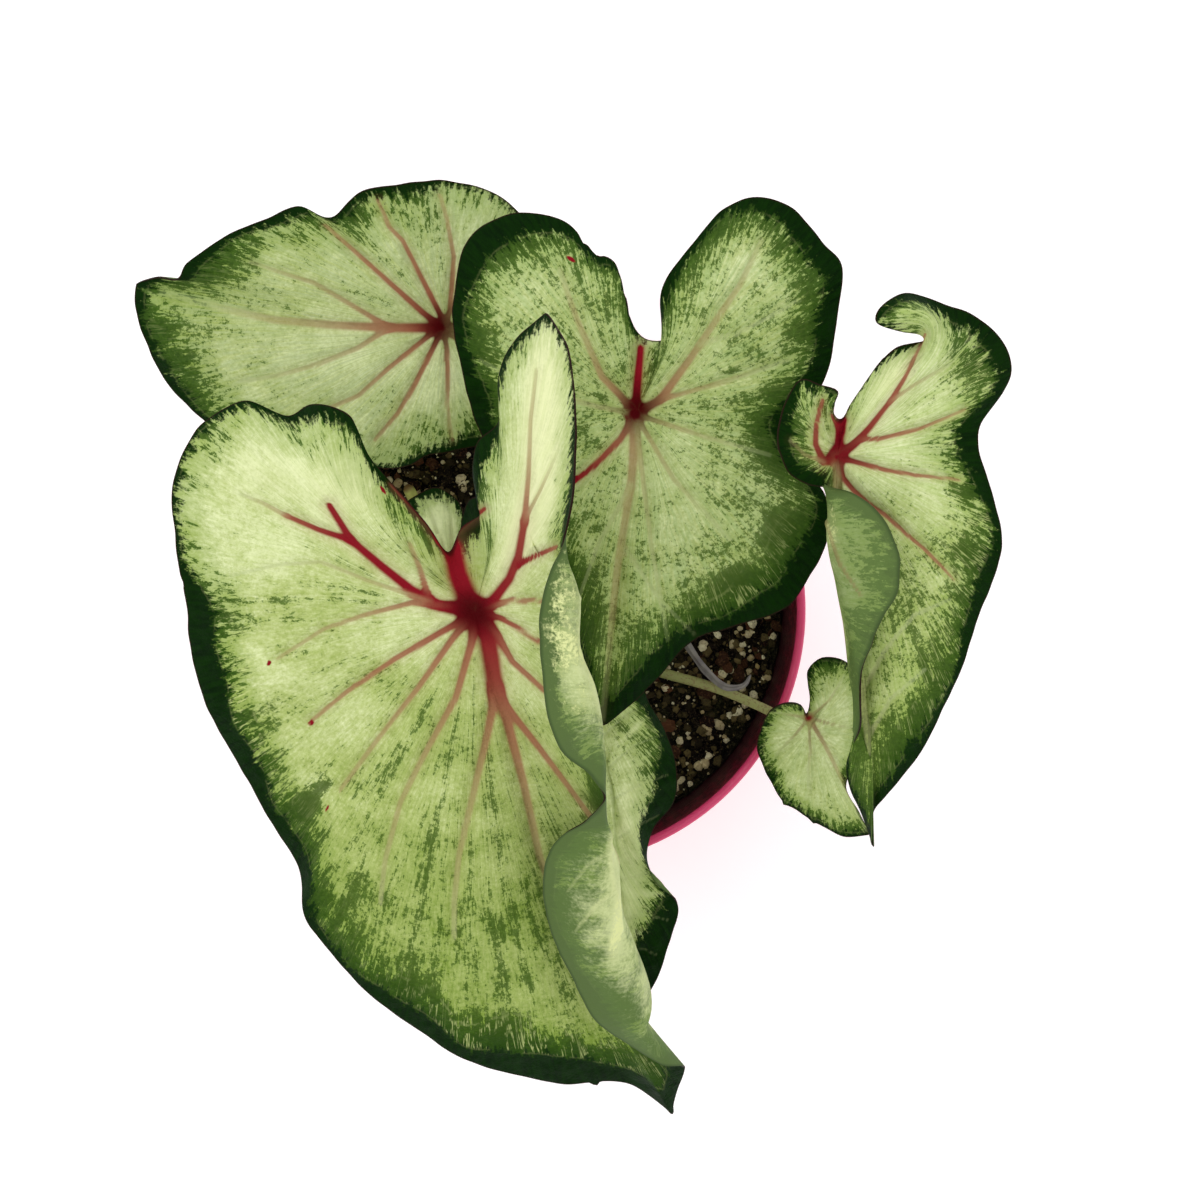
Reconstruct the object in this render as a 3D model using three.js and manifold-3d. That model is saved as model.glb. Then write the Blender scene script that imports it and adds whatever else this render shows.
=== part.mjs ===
// A caladium in a round plastic pot: seven leaves on their petioles, standing in soil with perlite.
// Millimetres, +Z up. The origin is the middle of the underside of the pot.
import * as THREE from 'three';
import { mergeVertices } from 'three/addons/utils/BufferGeometryUtils.js';
import Module from 'manifold-3d';

const wasm = await Module();
wasm.setup();

// Pot
const potHeight = 108;
const rimRadius = 64.25;
const rimWidth = 2.2;
const rimBand = 10;
const shoulderRadius = 62.3;
const baseRadius = 50;
const potWall = 1.5;
const potFloor = 2.4;
const potSectors = 56;
const drainHoles = 8;
const drainRadius = 2.6;
const drainCircle = 34;

// Soil
const gap = 0.3;
const soilLevel = 88;
const soilSectors = 36;
const soilRings = 7;
const perliteGrains = 40;
const barkChips = 14;
const stalkClearance = 3.5;

// Leaves and stalks
const bladeThickness = 0.8;
const hubThickness = 1.9;
const bladeRings = 8;
const ringCrowding = 1.4;
const foldRing = 4;
const edgePull = 4;
const edgeStep = 9;
const rippleHeight = 0.8;
const rippleLength = 28;
const hubFlatness = 0.85;
const tangentLimit = 1.4;
const normalReach = 3;
const stalkSides = 8;
const stalkSteps = 12;
const stalkDepth = 15;

// Leaf points are drafted by where they line up over the rim of the pot when seen from the sight point,
// which lies high over the middle of the plant; each one is then brought down that line to its own height.
const sightX = 12.75;
const sightY = 2.5;
const sightHeight = 700;

function place([x, y, z]) {
  const nearer = 1 - (z - potHeight) / sightHeight;
  return new THREE.Vector3(sightX + (x - sightX) * nearer, sightY + (y - sightY) * nearer, z);
}

// A repeatable stream of numbers from 0 to 1.
function randomStream(seed) {
  let state = seed;
  return () => {
    state = (state * 16807) % 2147483647;
    return state / 2147483647;
  };
}

// ---- Blades ----
// Every blade is a fan of rays, anticlockwise seen from above, each from the top of the petiole to the edge
// of the blade. The last point of `to` is on the edge; points before it lie where the blade bends, and
// point number `fold` is the one where it turns over.
// `edge` holds the points of the edge between this ray and the next one. `arch` is how far a ray bows
// upwards, as a share of its length, and `hub` is the top of the petiole.

const frontLeaf = {
  hub: [-18.5, -0.5, 200],
  arch: 0.07,
  rays: [
    { to: [[-24.75, 14.5, 207]], edge: [[-31.25, 22.25, 210], [-38.5, 30.5, 212], [-45, 38.75, 213]] },
    { to: [[-46, 27, 210], [-50, 48.75, 213]], edge: [[-59.25, 51.5, 209], [-65, 48.5, 205]] },
    { to: [[-50, 22, 206], [-76, 52.25, 201]], edge: [[-87.75, 45.75, 195]] },
    { to: [[-93.75, 31.75, 191]], edge: [[-93.25, 15, 188]] },
    { to: [[-90.75, 1.25, 185]], edge: [[-89.75, -8.75, 182]] },
    { to: [[-86.25, -22.5, 178]], edge: [[-79.75, -35, 172]] },
    { to: [[-71.75, -49, 166]], edge: [[-62.5, -65.5, 160], [-60.75, -77, 157]] },
    { to: [[-48.25, -92.75, 151]], edge: [[-33.75, -104.5, 145]] },
    { to: [[-18, -113.5, 138]], edge: [[2, -118.25, 130]] },
    { to: [[-6, -53, 168], [19, -118.25, 124]], edge: [] },
    { fold: 2, to: [[-3.5, -55, 165], [14, -95, 140], [30.5, -125.5, 116]], edge: [[32.5, -119.25, 121]] },
    { fold: 2, to: [[-0.5, -54.5, 166.5], [19, -95, 141], [33.75, -114.5, 127]],
      edge: [[28, -113.25, 138]] },
    { fold: 2, to: [[1.5, -53.75, 168], [24.5, -101, 142], [22.5, -105, 148], [18, -107, 147]],
      edge: [[10.75, -101, 155]] },
    { fold: 2, to: [[4, -53, 171], [20.5, -87, 158], [14, -89, 167], [5.25, -90, 164]],
      edge: [[2, -83.5, 168]] },
    { fold: 2, to: [[6, -52, 174], [18, -77.5, 168], [10.5, -78, 179], [0, -77.5, 173]],
      edge: [[-1.25, -70.5, 178]] },
    { fold: 2, to: [[8, -50, 178], [17, -64.5, 177], [10, -64.5, 189], [-1, -64.5, 184]],
      edge: [[1, -59, 190]] },
    { fold: 2, to: [[9, -46, 182], [15, -57, 188], [11.5, -55.5, 196], [4.5, -55.5, 195]],
      edge: [[9, -52.5, 202]] },
    { fold: 1, to: [[13.75, -47, 205], [13.75, -46.75, 213]], edge: [[11, -42.5, 217]] },
    { fold: 1, to: [[13.75, -37.5, 209], [11.5, -37.5, 218], [9, -40, 218]], edge: [[4, -36, 220]] },
    { fold: 1, to: [[13, -29, 213], [9, -29, 226], [1.75, -32.5, 223]], edge: [[0, -25.75, 225]] },
    { fold: 1, to: [[11.25, -19.5, 218], [7, -19.5, 230], [-1, -19.5, 227]], edge: [[-1.5, -14, 228]] },
    { fold: 1, to: [[7.5, -9.5, 221], [4.5, -9, 231], [-2, -8, 230]], edge: [[-2.25, -1, 232]] },
    { fold: 1, to: [[7.25, 3, 226], [4.5, 4, 235], [-1.25, 4.5, 234]], edge: [[0.25, 9, 236]] },
    { fold: 1, to: [[4, 12.5, 232], [3.5, 13, 237], [2, 13.5, 238]], edge: [[3.25, 17, 239]] },
    { to: [[-3, 14, 217], [5.5, 27, 240]], edge: [[6.25, 36, 240]] },
    { to: [[-3.5, 25, 221], [6.5, 46, 239]], edge: [[6, 57, 237], [4.25, 66, 234]] },
    { to: [[-6, 36, 221], [-1, 74.25, 230]], edge: [[-9, 67, 222]] },
    { to: [[-10.5, 28, 213], [-12.75, 57.5, 217]],
      edge: [[-12.75, 47.5, 213], [-17.75, 42, 210], [-19, 33, 207], [-16.5, 25.5, 206], [-22, 20.5, 206]] },
  ],
};

const backLeaf = {
  hub: [-26, 70.5, 158],
  arch: 0.06,
  rays: [
    { to: [[-17.25, 69, 158]], edge: [[-12.25, 76.25, 160]] },
    { to: [[-4.75, 83.75, 162]], edge: [[-2, 91.25, 164]] },
    { to: [[-7.5, 99.25, 166]], edge: [[-16, 105.25, 169]] },
    { to: [[-26.75, 107.5, 171]], edge: [[-37.25, 106.5, 172]] },
    { to: [[-47.75, 104.25, 172]], edge: [[-55, 98.25, 169]] },
    { to: [[-62.5, 100.75, 169]], edge: [[-72.25, 97.25, 168]] },
    { to: [[-82.75, 92.5, 165]], edge: [[-90.5, 86.5, 162], [-93.25, 82.5, 159], [-97.75, 83, 156]] },
    { to: [[-40, 71, 156.5], [-72.5, 75.5, 154], [-103.5, 81.75, 151]], edge: [[-103.5, 76, 149.5]] },
    { to: [[-100.5, 66.25, 147]], edge: [[-94.75, 55.75, 142]] },
    { to: [[-86.5, 47.75, 139]], edge: [[-74.75, 40.25, 138]] },
    { to: [[-59.75, 35.5, 139]], edge: [[-44.25, 35.5, 142]] },
    { to: [[-35.25, 36, 144]], edge: [[-30.25, 38.75, 146], [-24.75, 39.5, 147]] },
    { to: [[-18.5, 41, 148]], edge: [[-9.75, 43, 149]] },
    { to: [[-3.5, 48.75, 151]], edge: [[-4.75, 56.25, 153], [-12.25, 64.5, 156]] },
  ],
};

const middleLeaf = {
  hub: [22.25, 50, 182],
  arch: 0.06,
  rays: [
    { to: [[24.75, 67.5, 185]], edge: [] },
    { to: [[21.75, 70, 186]], edge: [[19.5, 76.25, 187], [18.75, 80, 187]] },
    { to: [[16.5, 71, 186.5], [16.25, 87, 188]], edge: [[9.25, 91, 188]] },
    { to: [[12.5, 72, 186], [7, 94.5, 188]], edge: [[2.75, 97.75, 188]] },
    { to: [[-5.5, 99.5, 187]], edge: [[-14.75, 97.5, 185]] },
    { to: [[-21, 91, 183]], edge: [[-23.5, 80, 181]] },
    { to: [[-24, 71.25, 180]], edge: [[-22, 60, 178]] },
    { to: [[-18.75, 48.75, 176]], edge: [[-14.25, 37.5, 174]] },
    { to: [[-7.75, 26.25, 172]], edge: [[-1, 15, 169]] },
    { to: [[3.75, 2.5, 166]], edge: [[6.25, -10, 162]] },
    { to: [[8.75, -21.25, 158]], edge: [] },
    { to: [[20, 25, 173], [16.5, 2.5, 165], [13.5, -29.25, 155]], edge: [] },
    { to: [[20.25, -24, 158]], edge: [[26.75, -17.75, 159]] },
    { to: [[35.75, -7.75, 163]], edge: [[47.25, -4, 166]] },
    { to: [[59.5, 1, 168]], edge: [[66.5, 10.25, 170]] },
    { to: [[69.75, 18.75, 172]], edge: [[69.25, 28.25, 174]] },
    { to: [[63.25, 37, 176]], edge: [[62, 45, 178], [66.5, 53, 180]] },
    { to: [[70, 60.5, 182]], edge: [[71.75, 72, 184]] },
    { to: [[73, 86, 187]], edge: [[68.25, 92.5, 189]] },
    { to: [[61.5, 100, 190]], edge: [[54.75, 103, 191], [49.75, 103, 191]] },
    { to: [[38, 75, 187.5], [43.25, 100, 190]], edge: [] },
    { to: [[33, 72, 187], [35.25, 90.75, 189]], edge: [[28.25, 80.5, 188], [28, 73.75, 186]] },
    { to: [[28.5, 67.5, 185]], edge: [] },
  ],
};

const rightLeaf = {
  hub: [72.25, 38.75, 203],
  arch: 0.05,
  rays: [
    { to: [[72.75, 43.75, 205], [73.25, 47.5, 208]], edge: [] },
    { to: [[71.5, 44, 207], [71.25, 49, 210]], edge: [[71.5, 51.75, 212]] },
    { to: [[69.5, 46.5, 208], [70, 52, 212], [72.25, 54.75, 213]], edge: [[67.75, 56.5, 213]] },
    { to: [[66, 46, 208], [63.5, 53.75, 212], [63.25, 57.5, 213]], edge: [] },
    { to: [[59.25, 52, 212]], edge: [[57.25, 45.5, 210]] },
    { to: [[57.5, 39.5, 208]], edge: [[59.75, 34, 205]] },
    { to: [[64.5, 31.5, 204]], edge: [[70.25, 30.25, 204.5]] },
    { fold: 2, to: [[71, 34, 202.5], [69.5, 29.25, 203], [71, 28.25, 207], [76.5, 28.75, 209]], edge: [] },
    { fold: 2, to: [[71.5, 33, 201], [69.9, 25.5, 200.5], [72.5, 24.5, 208], [80.25, 26.5, 209]],
      edge: [[84.25, 22, 208]] },
    { fold: 2, to: [[71.7, 31, 199], [69.75, 17, 195], [72.5, 15.5, 206], [87.25, 14.25, 205]],
      edge: [[87.5, 8.75, 203]] },
    { fold: 2, to: [[72.1, 28, 196], [72, 6.25, 186], [74.75, 4.5, 197], [86.75, 3.25, 199]],
      edge: [[84.25, -0.75, 197]] },
    { fold: 2, to: [[73, 20, 190], [74.5, -5, 178], [76.75, -6.5, 189], [80.75, -8.25, 192]],
      edge: [[78.5, -14.5, 187]] },
    { fold: 2, to: [[74, 12, 185], [75.75, -18.75, 172], [77.75, -20.75, 181], [78, -22.25, 182]],
      edge: [[78, -29.5, 173]] },
    { fold: 2, to: [[74.5, 6, 182], [76.2, -26, 167], [76, -34, 164]], edge: [[74.25, -38.5, 159]] },
    { fold: 2, to: [[75.5, 2, 180], [77.5, -30, 163], [75.25, -45, 155]], edge: [[78.25, -51.25, 150]] },
    { fold: 2, to: [[77, -2, 177], [80, -36, 158], [81, -59.25, 146]], edge: [[81.25, -50.5, 151]] },
    { to: [[79, -4, 178], [84.5, -46.25, 157]], edge: [] },
    { to: [[92, -36.75, 162]], edge: [] },
    { to: [[100.25, -21.5, 171]], edge: [] },
    { to: [[108, -0.25, 183]], edge: [[112.25, 10.75, 188]] },
    { to: [[113, 18.75, 190]], edge: [[111, 29.5, 194]] },
    { to: [[107.25, 41.25, 198]], edge: [[107.75, 46.25, 199]] },
    { to: [[113.75, 54.75, 202]], edge: [[115.75, 60, 204]] },
    { to: [[112.75, 68, 207]], edge: [[106.25, 73.5, 210]] },
    { to: [[91.5, 56.75, 210], [99.25, 68.75, 213], [97.75, 77.25, 213]], edge: [[89, 79.25, 216]] },
    { to: [[88.5, 58, 210], [95.25, 66.5, 213], [94.5, 72.5, 218], [82.25, 75, 219]],
      edge: [[81.75, 72, 218], [88.5, 69.5, 217], [96.5, 68.75, 213], [93, 67, 211]] },
    { to: [[87.25, 65.5, 212]], edge: [[82, 61, 212], [77.75, 55, 211]] },
    { to: [[75, 50.75, 210]], edge: [] },
  ],
};

const underLeaf = {
  hub: [4.75, -11.25, 153],
  arch: 0.06,
  rays: [
    { to: [[3.5, -3, 155]], edge: [] },
    { to: [[-2.5, 0.5, 155]], edge: [[-8, 10, 153], [-13.5, 20, 151]] },
    { to: [[-12.5, 10, 151], [-17, 28, 149]], edge: [[-20, 27.5, 147]] },
    { to: [[-22.75, 17.5, 145]], edge: [] },
    { to: [[-23.5, 2.5, 143]], edge: [] },
    { to: [[-21.75, -15, 140]], edge: [[-17.75, -32.5, 137]] },
    { to: [[-12.25, -50, 133]], edge: [[-4.75, -67.5, 128]] },
    { to: [[5.25, -83.75, 121]], edge: [[12.75, -93.75, 117]] },
    { to: [[16, -62, 129.5], [23.25, -98.5, 114]], edge: [[26.75, -92.5, 117]] },
    { to: [[12.9, -40, 139.5], [18.3, -63, 128.5], [31, -80.5, 122]], edge: [] },
    { to: [[14.6, -40, 139.5], [20, -60.5, 130], [32.25, -74, 125]], edge: [[27, -68, 128]] },
    { to: [[24.5, -62, 129.5]], edge: [[26, -55, 131]] },
    { to: [[31, -48.75, 133]], edge: [[32, -40, 136]] },
    { to: [[28.75, -29.5, 139]], edge: [[24.75, -22.5, 142]] },
    { to: [[22.75, -15, 145]], edge: [[22.25, -6.25, 147]] },
    { to: [[20.75, 2.5, 149]], edge: [[17.75, 8.75, 150]] },
    { to: [[12.75, 11.25, 152]], edge: [[9, 7.5, 153], [6.5, 1.25, 154]] },
  ],
};

const smallLeaf = {
  hub: [65.25, -30, 128],
  arch: 0.06,
  rays: [
    { to: [[64.5, -26, 129]], edge: [[63, -23.75, 130]] },
    { to: [[59.5, -23, 130]], edge: [[56.25, -24.25, 129]] },
    { to: [[53.25, -28.5, 127]], edge: [[52, -33.75, 125]] },
    { to: [[53.75, -40, 123]], edge: [[58.75, -48, 121]] },
    { to: [[62.75, -50.75, 120]], edge: [[68.25, -54, 119]] },
    { to: [[74.25, -56.75, 117]], edge: [] },
    { to: [[69, -37.5, 124], [74, -47.5, 119.5], [80.25, -56, 115]], edge: [[77.75, -50.5, 118]] },
    { to: [[74.5, -43.5, 121]], edge: [] },
    { to: [[77, -38, 122]], edge: [] },
    { to: [[79.25, -30, 124]], edge: [[79.25, -22.5, 126]] },
    { to: [[77.25, -15.5, 128]], edge: [[72.75, -12.25, 130]] },
    { to: [[70, -21, 130], [68.25, -12, 131]],
      edge: [[64.75, -15.25, 131], [64.75, -18.5, 130], [65.25, -22.5, 129]] },
  ],
};

const youngLeaf = {
  hub: [-24.25, 8, 136],
  arch: 0.05,
  rays: [
    { to: [[-21.25, 12.25, 137]], edge: [[-20.75, 17, 138], [-21.25, 22.5, 138]] },
    { to: [[-22.75, 27.5, 138]], edge: [] },
    { to: [[-27.75, 30.75, 138]], edge: [[-32.75, 29.25, 137]] },
    { to: [[-36.5, 26.25, 136]], edge: [[-39.25, 17.5, 134]] },
    { to: [[-40.25, 7.5, 131]], edge: [] },
    { to: [[-38.5, -7.5, 126]], edge: [[-32.25, -20, 122]] },
    { to: [[-25, -10, 127], [-23.5, -28.75, 118]], edge: [] },
    { to: [[-16, -17, 124]], edge: [] },
    { to: [[-13, -4, 129]], edge: [] },
    { to: [[-12.5, 4, 132]], edge: [[-13.25, 10, 134]] },
    { to: [[-16, 13.5, 135.5]], edge: [] },
  ],
};

const leaves = {
  front: frontLeaf,
  back: backLeaf,
  middle: middleLeaf,
  right: rightLeaf,
  under: underLeaf,
  small: smallLeaf,
  young: youngLeaf,
};

// Cubic through a and b, with a tangent at each, at share t of a step `span` long.
function cubic(a, b, tangentA, tangentB, span, t) {
  const t2 = t * t;
  const t3 = t2 * t;
  return a.clone().multiplyScalar(2 * t3 - 3 * t2 + 1)
    .addScaledVector(tangentA, (t3 - 2 * t2 + t) * span)
    .addScaledVector(b, 3 * t2 - 2 * t3)
    .addScaledVector(tangentB, (t3 - t2) * span);
}

// How far out a ring of the blade lies, as a share of the way from hub to edge. Rings are closer
// together near the edge, where the blade bends most.
function ringShare(k) {
  return 1 - (1 - k / bladeRings) ** ringCrowding;
}

// Tangent at point `here` between two steps of different length.
function tangent(before, here, after, spanBefore, spanAfter) {
  const arriving = here.clone().sub(before).multiplyScalar(spanAfter / spanBefore);
  const leaving = after.clone().sub(here).multiplyScalar(spanBefore / spanAfter);
  return arriving.add(leaving).divideScalar(spanBefore + spanAfter);
}

// The mean direction that the blade faces round its hub.
function hubNormal(hub, rays) {
  const legs = rays.map((ray) => ray[0].clone().sub(hub).normalize());
  const normal = new THREE.Vector3();
  legs.forEach((leg, i) => normal.add(leg.clone().cross(legs[(i + 1) % legs.length])));
  return normal.normalize();
}

// The ray's points from hub to edge, bowed upwards. It leaves the hub nearly square to `normal`, so that
// the blade is smooth there. Where the blade bends over at point `fold`, ring `foldRing` lies on it.
function sampleRay(points, arch, normal, fold = 0) {
  const spans = points.slice(1).map((point, i) => point.distanceTo(points[i]));
  const length = spans.reduce((sum, span) => sum + span, 0);
  const last = points.length - 1;
  const tangents = points.map((point, i) => {
    if (i === 0) return points[1].clone().sub(point).divideScalar(spans[0]);
    if (i === last) return point.clone().sub(points[i - 1]).divideScalar(spans[i - 1]);
    return tangent(points[i - 1], point, points[i + 1], spans[i - 1], spans[i]);
  });
  tangents[0].addScaledVector(normal, -hubFlatness * tangents[0].dot(normal)).normalize();
  const before = spans.slice(0, fold).reduce((sum, span) => sum + span, 0);
  const foldShare = ringShare(foldRing);
  const samples = [];
  for (let k = 0; k <= bladeRings; k += 1) {
    const v = ringShare(k);
    let way = v * length;
    if (fold > 0 && v <= foldShare) way = (before * v) / foldShare;
    if (fold > 0 && v > foldShare) way = before + ((length - before) * (v - foldShare)) / (1 - foldShare);
    let i = 0;
    while (i < last - 1 && way > spans[i]) {
      way -= spans[i];
      i += 1;
    }
    const share = Math.min(way / spans[i], 1);
    const sample = cubic(points[i], points[i + 1], tangents[i], tangents[i + 1], spans[i], share);
    sample.z += arch * length * 4 * v * (1 - v);
    samples.push(sample);
  }
  return samples;
}

// Tangents of a closed curve through points, whose steps have the given spans. They are held short
// where a step is short, so that the curve doesn't swing past its points.
function closedTangents(points, spans) {
  const count = points.length;
  return points.map((point, i) => {
    const before = (i + count - 1) % count;
    const after = (i + 1) % count;
    const slowest = Math.min(
      point.distanceTo(points[before]) / spans[before],
      point.distanceTo(points[after]) / spans[i],
    );
    return tangent(points[before], point, points[after], spans[before], spans[i])
      .clampLength(0, slowest * tangentLimit);
  });
}

// The blade's upper face as columns of points from hub to edge. Between two rays the fan is drawn smoothly,
// and near the edge it is pulled to the edge's own points and given a slight ripple.
function bladeColumns(leaf) {
  const hub = place(leaf.hub);
  const routes = leaf.rays.map(({ to }) => to.map(place));
  const normal = hubNormal(hub, routes);
  const rays = routes.map((route, i) => sampleRay([hub, ...route], leaf.arch, normal, leaf.rays[i].fold));
  const edges = leaf.rays.map(({ edge }, i) => [routes[i][routes[i].length - 1], ...edge.map(place)]);
  const edge = edges.flat();
  const chords = edge.map((point, j) => point.distanceTo(edge[(j + 1) % edge.length]));
  const edgeSpans = chords.map(Math.sqrt);
  const edgeTangents = closedTangents(edge, edgeSpans);
  const around = chords.reduce((sum, chord) => sum + chord, 0);
  const waves = Math.round(around / rippleLength);

  const firsts = edges.map((points, i) => edges.slice(0, i).flat().length);
  const lengths = edges.map((points, i) => points.reduce((sum, point, j) => sum + chords[firsts[i] + j], 0));
  const raySpans = lengths.map(Math.sqrt);
  const ringTangents = rays[0].map((point, k) => closedTangents(rays.map((ray) => ray[k]), raySpans));

  const columns = [];
  let travelled = 0;
  rays.forEach((ray, i) => {
    const nextRay = (i + 1) % rays.length;
    let passed = 0;
    edges[i].forEach((point, j) => {
      const here = firsts[i] + j;
      const next = (here + 1) % edge.length;
      const steps = Math.max(1, Math.round(chords[here] / edgeStep));
      for (let step = 0; step < steps; step += 1) {
        const share = step / steps;
        const turn = (passed + chords[here] * share) / lengths[i];
        const column = ray.map((start, k) => cubic(
          start, rays[nextRay][k], ringTangents[k][i], ringTangents[k][nextRay], raySpans[i], turn));
        const rim = cubic(point, edge[next], edgeTangents[here], edgeTangents[next], edgeSpans[here], share);
        const wavesPassed = (waves * (travelled + chords[here] * share)) / around;
        rim.z += rippleHeight * Math.sin(2 * Math.PI * wavesPassed);
        const pull = rim.sub(column[bladeRings]);
        column.forEach((sample, k) => sample.addScaledVector(pull, ringShare(k) ** edgePull));
        columns.push(column);
      }
      passed += chords[here];
      travelled += chords[here];
    });
  });
  return columns;
}

// The direction that the blade faces at each point, averaged over the blade within a few millimetres.
function broadNormals(points, faces) {
  const patches = faces.map(([a, b, c]) => ({
    middle: points[a].clone().add(points[b]).add(points[c]).divideScalar(3),
    normal: points[b].clone().sub(points[a]).cross(points[c].clone().sub(points[a])),
  }));
  const near = points.map(() => new THREE.Vector3());
  faces.forEach((face, i) => face.forEach((corner) => near[corner].add(patches[i].normal)));
  return points.map((point, i) => {
    const sum = new THREE.Vector3();
    patches.forEach(({ middle, normal }) => {
      const distance = middle.distanceToSquared(point) / (normalReach * normalReach);
      if (distance < 9 && normal.dot(near[i]) > 0) sum.addScaledVector(normal, Math.exp(-distance));
    });
    return sum.normalize();
  });
}

// A closed thin solid under the columns: both faces are split into triangles alike.
// `spare` grows it all round, for cutting a petiole clear of it.
function bladeGeometry(columns, spare = 0) {
  const rings = columns[0].length - 1;
  const count = columns.length;
  const index = (column, ring) => (ring === 0 ? 0 : 1 + (column % count) * rings + ring - 1);
  const points = [columns[0][0]];
  columns.forEach((column) => points.push(...column.slice(1)));
  const faces = [];
  for (let i = 0; i < count; i += 1) {
    faces.push([0, index(i, 1), index(i + 1, 1)]);
    for (let k = 1; k < rings; k += 1) {
      faces.push([index(i, k), index(i, k + 1), index(i + 1, k + 1)]);
      faces.push([index(i, k), index(i + 1, k + 1), index(i + 1, k)]);
    }
  }
  const normals = broadNormals(points, faces);
  const ringOf = (i) => (i === 0 ? 0 : ((i - 1) % rings) + 1);
  const upper = points.map((point, i) => point.clone().addScaledVector(normals[i], spare));
  const lower = points.map((point, i) => {
    const thickness = bladeThickness + (hubThickness - bladeThickness) * (1 - ringShare(ringOf(i))) ** 6;
    return point.clone().addScaledVector(normals[i], -thickness - spare);
  });
  const corners = [];
  faces.forEach(([a, b, c]) => {
    corners.push(upper[a], upper[b], upper[c]);
    corners.push(lower[a], lower[c], lower[b]);
  });
  for (let i = 0; i < count; i += 1) {
    const here = index(i, rings);
    const next = index(i + 1, rings);
    corners.push(upper[here], lower[here], lower[next]);
    corners.push(upper[here], lower[next], upper[next]);
  }
  return new THREE.BufferGeometry().setFromPoints(corners);
}

// ---- Solids for cutting and joining ----

function toSolid(geometry) {
  const bare = new THREE.BufferGeometry();
  bare.setAttribute('position', geometry.getAttribute('position'));
  bare.setIndex(geometry.getIndex());
  const merged = mergeVertices(bare, 1e-4);
  const triangles = [];
  const index = merged.getIndex().array;
  for (let i = 0; i < index.length; i += 3) {
    const [a, b, c] = [index[i], index[i + 1], index[i + 2]];
    if (a !== b && b !== c && c !== a) triangles.push(a, b, c);
  }
  const vertProperties = new Float32Array(merged.getAttribute('position').array);
  const triVerts = new Uint32Array(triangles);
  return new wasm.Manifold(new wasm.Mesh({ numProp: 3, vertProperties, triVerts }));
}

function toGeometry(solid) {
  const mesh = solid.getMesh();
  const geometry = new THREE.BufferGeometry();
  geometry.setAttribute('position', new THREE.BufferAttribute(new Float32Array(mesh.vertProperties), 3));
  geometry.setIndex(new THREE.BufferAttribute(new Uint32Array(mesh.triVerts), 1));
  geometry.computeVertexNormals();
  return geometry;
}

function largestPiece(solid) {
  return solid.decompose().sort((a, b) => b.volume() - a.volume())[0];
}

// ---- Petioles and other stalks ----

// A round stalk along a smooth curve, from radius `foot` to radius `head`, closed at both ends.
function stalkGeometry(route, foot, head, spare = 0) {
  const curve = new THREE.CatmullRomCurve3(route, false, 'centripetal');
  const frames = curve.computeFrenetFrames(stalkSteps, false);
  const rings = [];
  for (let k = 0; k <= stalkSteps; k += 1) {
    const centre = curve.getPointAt(k / stalkSteps);
    const radius = foot + (head - foot) * Math.sqrt(k / stalkSteps) + spare;
    const ring = [];
    for (let side = 0; side < stalkSides; side += 1) {
      const angle = (side / stalkSides) * 2 * Math.PI;
      ring.push(centre.clone()
        .addScaledVector(frames.normals[k], radius * Math.cos(angle))
        .addScaledVector(frames.binormals[k], radius * Math.sin(angle)));
    }
    rings.push(ring);
  }
  const ends = [route[0], route[route.length - 1]];
  const corners = [];
  for (let side = 0; side < stalkSides; side += 1) {
    const next = (side + 1) % stalkSides;
    corners.push(ends[0], rings[0][next], rings[0][side]);
    for (let k = 0; k < stalkSteps; k += 1) {
      corners.push(rings[k][side], rings[k][next], rings[k + 1][next]);
      corners.push(rings[k][side], rings[k + 1][next], rings[k + 1][side]);
    }
    corners.push(ends[1], rings[stalkSteps][side], rings[stalkSteps][next]);
  }
  return new THREE.BufferGeometry().setFromPoints(corners);
}

// Where each petiole stands in the soil, the points it passes on its way up, and its radius below and above.
const petioles = {
  front: { foot: [1, 4], way: [[3, 4, 120], [3.5, 3, 152], [-4, 1, 178]], radii: [2.6, 1.6] },
  back: { foot: [-3, 12], way: [[-6, 22, 118], [-16, 48, 142]], radii: [2.1, 1.3] },
  middle: { foot: [12, 8], way: [[15, 16, 120], [20, 36, 155]], radii: [2.5, 1.5] },
  right: { foot: [20, 2], way: [[36, 12, 122], [57, 28, 158], [62.8, 35, 176]], radii: [2.5, 1.4] },
  under: { foot: [6, -12], way: [[6.5, -15, 112], [6, -13, 134]], radii: [2.2, 1.4] },
  small: { foot: [17, -12], way: [[27, -15.5, 97], [43, -20, 108], [58, -26.5, 117]], radii: [1.6, 1.1] },
  young: { foot: [-8, 2], way: [[-12, 3, 106], [-19, 5, 123]], radii: [1.7, 1.1] },
};

// The plain hole that a stalk stands in: its own shape, `gap` wider and deeper.
function holeSolid(route, radii) {
  const [foot, ...rest] = route;
  const deeper = foot.clone().add(foot.clone().sub(rest[0]).setLength(gap));
  return toSolid(stalkGeometry([deeper, ...rest], ...radii, gap * 1.2));
}

const blades = {};
const stalks = {};
const holes = [];
const keepOut = [];

for (const [name, leaf] of Object.entries(leaves)) {
  const columns = bladeColumns(leaf);
  blades[name] = bladeGeometry(columns);
  const { foot, way, radii } = petioles[name];
  const [x, y] = foot;
  const route = [
    new THREE.Vector3(x, y, soilLevel - stalkDepth),
    new THREE.Vector3(x, y, soilLevel - 4),
    ...way.map((point) => new THREE.Vector3(...point)),
    columns[0][0],
  ];
  const clear = toSolid(bladeGeometry(columns, gap));
  stalks[name] = largestPiece(toSolid(stalkGeometry(route, ...radii)).subtract(clear));
  holes.push(holeSolid(route, radii));
  keepOut.push(route[1]);
}

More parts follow.
